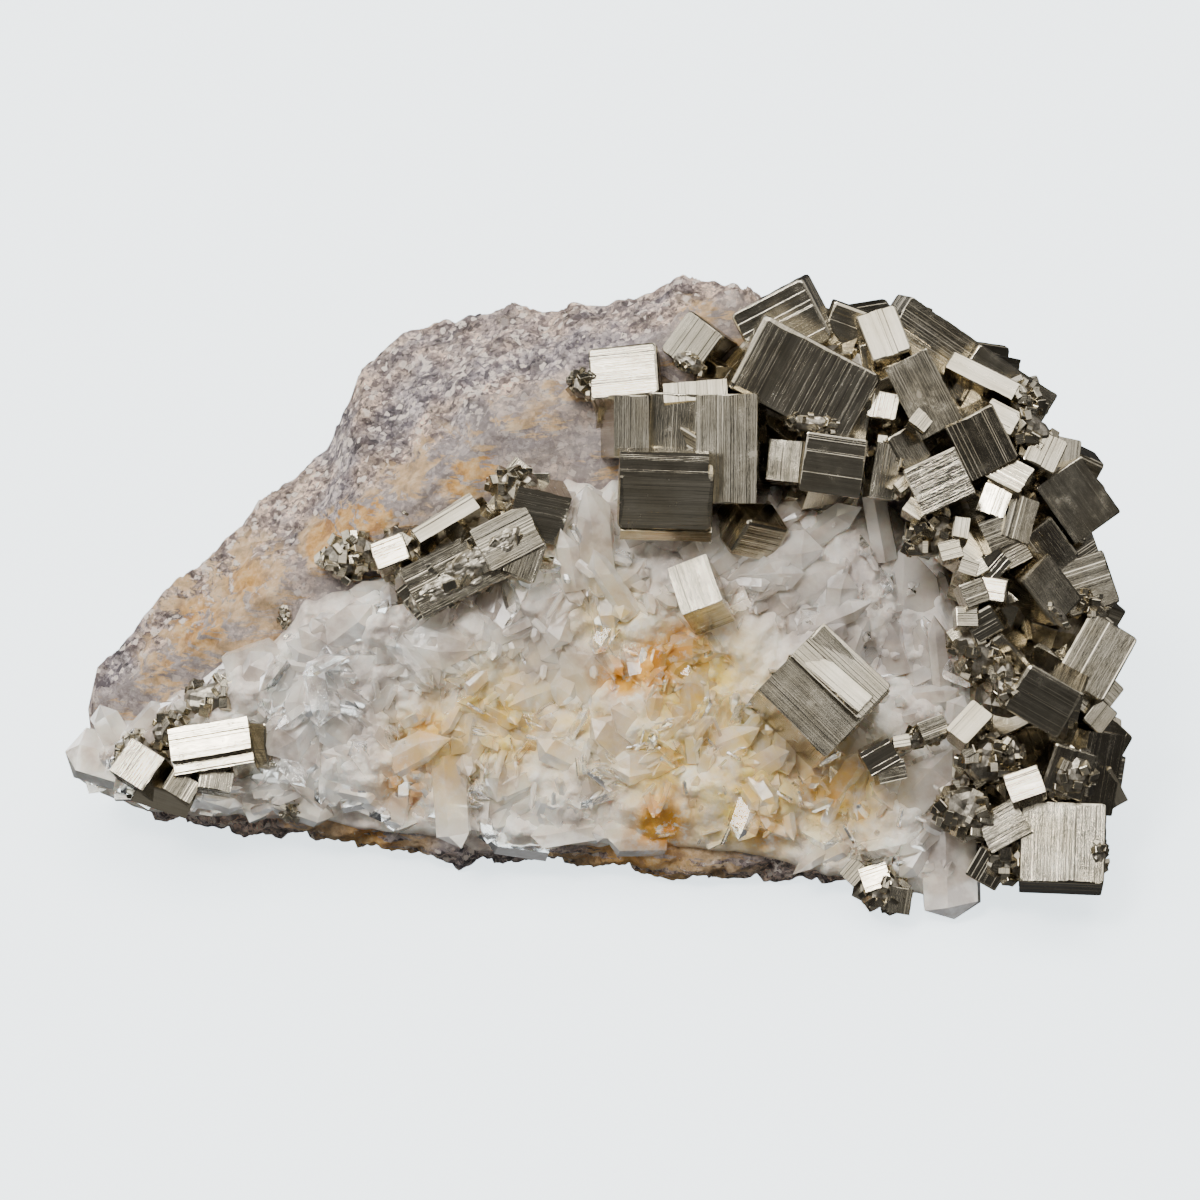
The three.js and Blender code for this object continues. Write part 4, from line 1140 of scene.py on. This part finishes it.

# Each lump is a core darkened as painted shade, standing for the shade among its crystals, with
# this many crystals spread evenly over it. The core's radius, the crystals' distance from its
# middle and their smallest and largest side are shares of the lump's own radius. A turn of the
# golden angle, in radians, from each to the next keeps them apart.
KNOT_CRYSTALS = 15
KNOT_CORE = 0.74
KNOT_REACH = 0.54
KNOT_SIZES = (0.5, 0.76)
GOLDEN_ANGLE = 2.39996

# Each rough mass is strewn with this many small crystals. One with a longer reach than this is
# massive pyrite; the shorter ones are little more than a core darkened as painted shade for their
# crystals.
MASS_CRYSTALS = 36
MASSIVE_REACH = 7.0


def pyrite_piece(name, crystals, lumps, masses, material, seed):
    """A group as one mesh: its crystals, the knots of crystals behind them, and its rough masses."""
    random = np.random.default_rng(seed)
    all_points, all_faces, grooves, rough, painted_shades = [], [], [], [], []

    def add(points, faces, normals, turn=np.eye(3), centre=(0, 0, 0), roughness=0.0, painted_shade=1.0):
        start = sum(len(p) for p in all_points)
        grooves.extend(groove_coordinates(points, faces, normals, random.uniform(0, 100)))
        all_points.append(points @ turn.T + centre)
        all_faces.extend(tuple(start + k for k in face) for face in faces)
        rough.extend([roughness] * len(points))
        painted_shades.extend([painted_shade] * len(points))

    for at, turn, size, pitch in crystals:
        add(*striated_solid(random, size, pitch), facing(*turn), place(*at))
    for at, radius in lumps:
        # The core is darkened as painted shade: the shade among the knot's crystals.
        core = crumpled_mass(np.full(3, radius * KNOT_CORE), np.eye(3), place(*at), 2)
        add(*core, roughness=1.0, painted_shade=0.3)
        for k in range(KNOT_CRYSTALS):
            rise = 1 - 2 * (k + 0.5) / KNOT_CRYSTALS
            around = GOLDEN_ANGLE * k + radius
            level = math.sqrt(1 - rise ** 2)
            direction = np.array([math.cos(around) * level, math.sin(around) * level, rise])
            size = radius * random.uniform(*KNOT_SIZES, 3)
            centre = place(*at) + direction * radius * KNOT_REACH
            if centre[2] - 0.8 * size.max() > BASE_CLEARANCE:
                angles = random.uniform(0, 90, 3)
                crystal = striated_solid(random, size, random.uniform(0.8, 1.5))
                add(*crystal, facing(*angles), centre)
    for at, turn, reach in masses:
        # Short masses get a core darkened as painted shade; massive ones keep their own colour.
        share, detail, painted_shade = (1.0, 5, 1.0) if max(reach) > MASSIVE_REACH else (0.8, 3, 0.5)
        core = crumpled_mass(np.array(reach) * share, facing(*turn), place(*at), detail)
        add(*core, roughness=1.0, painted_shade=painted_shade)
        for _ in range(MASS_CRYSTALS):
            direction = random.normal(size=3)
            direction *= 0.9 * np.array(reach) / np.linalg.norm(direction)
            size = random.uniform(0.35, 0.85, 3) * min(min(reach), 2.6)
            centre = place(*at) + facing(*turn) @ direction
            if centre[2] - size.max() > BASE_CLEARANCE:
                add(*small_crystal(size), facing(*random.uniform(0, 90, 3)), centre)
    points = np.vstack(all_points)
    return mesh_object(name, points, all_faces, material, {
        "groove": ("CORNER", "FLOAT_VECTOR", grooves),
        "crushed": ("POINT", "FLOAT", rough),
        "painted_shade": ("POINT", "FLOAT", painted_shades),
    })


def pyrite_material():
    """Pale brassy metal with fine lines along the grooves, tarnish in patches and dusty pits, and
    painted shade that darkens the cores of knots and small masses.
    """
    shader = Shader("pyrite", Metallic=1.0)
    mm = shader.millimetres()
    groove = shader.attribute("groove", "Vector")
    crushed = shader.attribute("crushed")
    lines = shader.node("ShaderNodeMapping", Vector=groove, Scale=(4.0, 0.10, 1.0))
    hair = shader.noise(lines, 1.0, 4, 0.7)
    broad = shader.node("ShaderNodeMapping", Vector=groove, Scale=(0.8, 0.04, 1.0))
    wide = shader.noise(broad, 1.0, 3, 0.6)
    dust = shader.noise(mm, 1.6, 4, 0.65)
    base = shader.ramp(
        wide, (0.34, (0.35, 0.32, 0.25)), (0.5, (0.46, 0.42, 0.33)), (0.66, (0.56, 0.51, 0.405)))
    tarnish = shader.ramp(shader.noise(mm, 0.12, 4, 0.6), (0.42, 0.0), (0.66, 0.5))
    colour = shader.mix(tarnish, base, (0.34, 0.29, 0.195))
    pits = shader.ramp(dust, (0.66, 0.0), (0.72, 0.5))
    colour = shader.mix(pits, colour, (0.22, 0.20, 0.17))
    grain = shader.ramp(shader.noise(mm, 1.1, 5, 0.75), (0.40, 0.0), (0.60, 1.0))
    crust = shader.mix(grain, (0.24, 0.215, 0.165), (0.60, 0.55, 0.45))
    colour = shader.mix(crushed, colour, crust)
    # Painted shade: the cores of knots and small masses are pulled towards near black to stand for the
    # shade between crystals.
    colour = shader.mix(shader.attribute("painted_shade"), (0.10, 0.09, 0.075), colour)
    rough = shader.ramp(shader.noise(mm, 0.35, 4, 0.65), (0.32, 0.10), (0.55, 0.19), (0.72, 0.32))
    rough = shader.maths("MAXIMUM", rough, shader.times(crushed, 0.36))
    lined = shader.bump(hair, 0.05, 0.7)
    shader.set(shader.surface, {
        "Base Color": colour,
        "Roughness": rough,
        "Normal": shader.bump(dust, 0.02, 0.4, under=lined),
    })
    return shader.material


# What the floor adds to the light it sends back, so that it stays almost white, and how far it
# reaches to each side.
FLOOR_GLOW = 2.3
FLOOR_REACH = 4000.0


def floor_piece():
    """A plain pale floor, wide enough to fill every view."""
    shader = Shader("floor", Roughness=0.9)
    mm = shader.millimetres()
    faint = shader.ramp(
        shader.noise(mm, 0.01, 2, 0.5), (0.3, (0.80, 0.825, 0.84)), (0.7, (0.81, 0.835, 0.85)))
    shader.set(shader.surface, {
        "Base Color": faint,
        "Emission Color": (0.82, 0.94, 1.0, 1.0),
        "Emission Strength": FLOOR_GLOW,
    })
    corners = np.array([(-1, -1, 0), (1, -1, 0), (1, 1, 0), (-1, 1, 0)]) * FLOOR_REACH
    made = mesh_object("floor", corners + FOOTPRINT_MIDDLE, [(0, 1, 2, 3)], shader.material)
    made.visible_glossy = False
    made.visible_diffuse = False


# The studio's soft lights as patches on the sky round the specimen. Each row: azimuth from the
# front, positive to the right, elevation, the angles where the patch is full and where it has
# faded, and its level.
SKY_BASE = 0.05
SKY_PATCHES = [
    (0, 88, 18, 38, 3.9),
    (-58, 32, 12, 26, 2.0),
    (56, 28, 8, 20, 1.5),
    (-135, 16, 16, 36, 2.4),
    (130, 20, 12, 28, 1.0),
    (-38, 58, 5, 10, 34.0),
    (0, 40, 8, 34, 0.09),
    (0, -50, 20, 60, 0.2),
]


def studio():
    """A dark sky with smooth bright patches: large soft lights above and beside the specimen."""
    world = bpy.data.worlds.new("studio")
    world.use_nodes = True
    tree = world.node_tree
    direction = tree.nodes.new("ShaderNodeTexCoord").outputs["Generated"]
    total = None
    for azimuth, elevation, full, faded, level in SKY_PATCHES:
        a, e = math.radians(azimuth), math.radians(elevation)
        middle = (math.sin(a) * math.cos(e), -math.cos(a) * math.cos(e), math.sin(e))
        nearness = tree.nodes.new("ShaderNodeVectorMath")
        nearness.operation = "DOT_PRODUCT"
        tree.links.new(direction, nearness.inputs[0])
        nearness.inputs[1].default_value = middle
        patch = tree.nodes.new("ShaderNodeMapRange")
        patch.interpolation_type = "SMOOTHSTEP"
        tree.links.new(nearness.outputs["Value"], patch.inputs["Value"])
        patch.inputs["From Min"].default_value = math.cos(math.radians(faded))
        patch.inputs["From Max"].default_value = math.cos(math.radians(full))
        patch.inputs["To Min"].default_value = 0.0 if total else SKY_BASE
        patch.inputs["To Max"].default_value = level
        light = patch.outputs["Result"]
        if total:
            added = tree.nodes.new("ShaderNodeMath")
            tree.links.new(total, added.inputs[0])
            tree.links.new(light, added.inputs[1])
            light = added.outputs[0]
        total = light
    background = tree.nodes["Background"]
    background.inputs["Color"].default_value = (1.0, 0.985, 0.965, 1)
    tree.links.new(total, background.inputs["Strength"])
    bpy.context.scene.world = world


def show_camera():
    """The camera looks squarely at the show side."""
    camera = bpy.data.cameras.new("camera")
    camera.lens = FOCAL_LENGTH
    camera.sensor_width = PICTURE_WIDTH
    made = scene_object("camera", camera)
    made.location = (SHOW_CENTRE - FOOTPRINT_MIDDLE + SHOW_DISTANCE * W) * MM
    made.rotation_euler = (math.pi / 2 - SHOW_ELEVATION, 0, 0)
    bpy.context.scene.camera = made


show_camera()
studio()
floor_piece()

piece(rock_piece(rock_material()), "host_rock")
piece(crust_piece(quartz_bed_material()), "quartz_crust")
for made in quartz_crystal_pieces(milky_material(), clear_material()):
    piece(made, "quartz_crust")

pyrite = pyrite_material()
for name, crystals, lumps, masses in (
    ("main_cluster", MAIN_CRYSTALS, MAIN_LUMPS, MAIN_MASSES),
    ("lone_cube", LONE_CUBE, [], LONE_MASSES),
    ("small_cube", SMALL_CUBE, [], []),
    ("upper_left_group", UPPER_LEFT_CRYSTALS, UPPER_LEFT_LUMPS, UPPER_LEFT_MASSES),
    ("lower_left_group", LOWER_LEFT_CRYSTALS, LOWER_LEFT_LUMPS, LOWER_LEFT_MASSES),
    ("lower_edge_group", LOWER_EDGE_CRYSTALS, LOWER_EDGE_LUMPS, LOWER_EDGE_MASSES),
):
    group = pyrite_piece("striated_" + name, crystals, lumps, masses, pyrite, seed=len(name))
    piece(group, "pyrite_" + name)
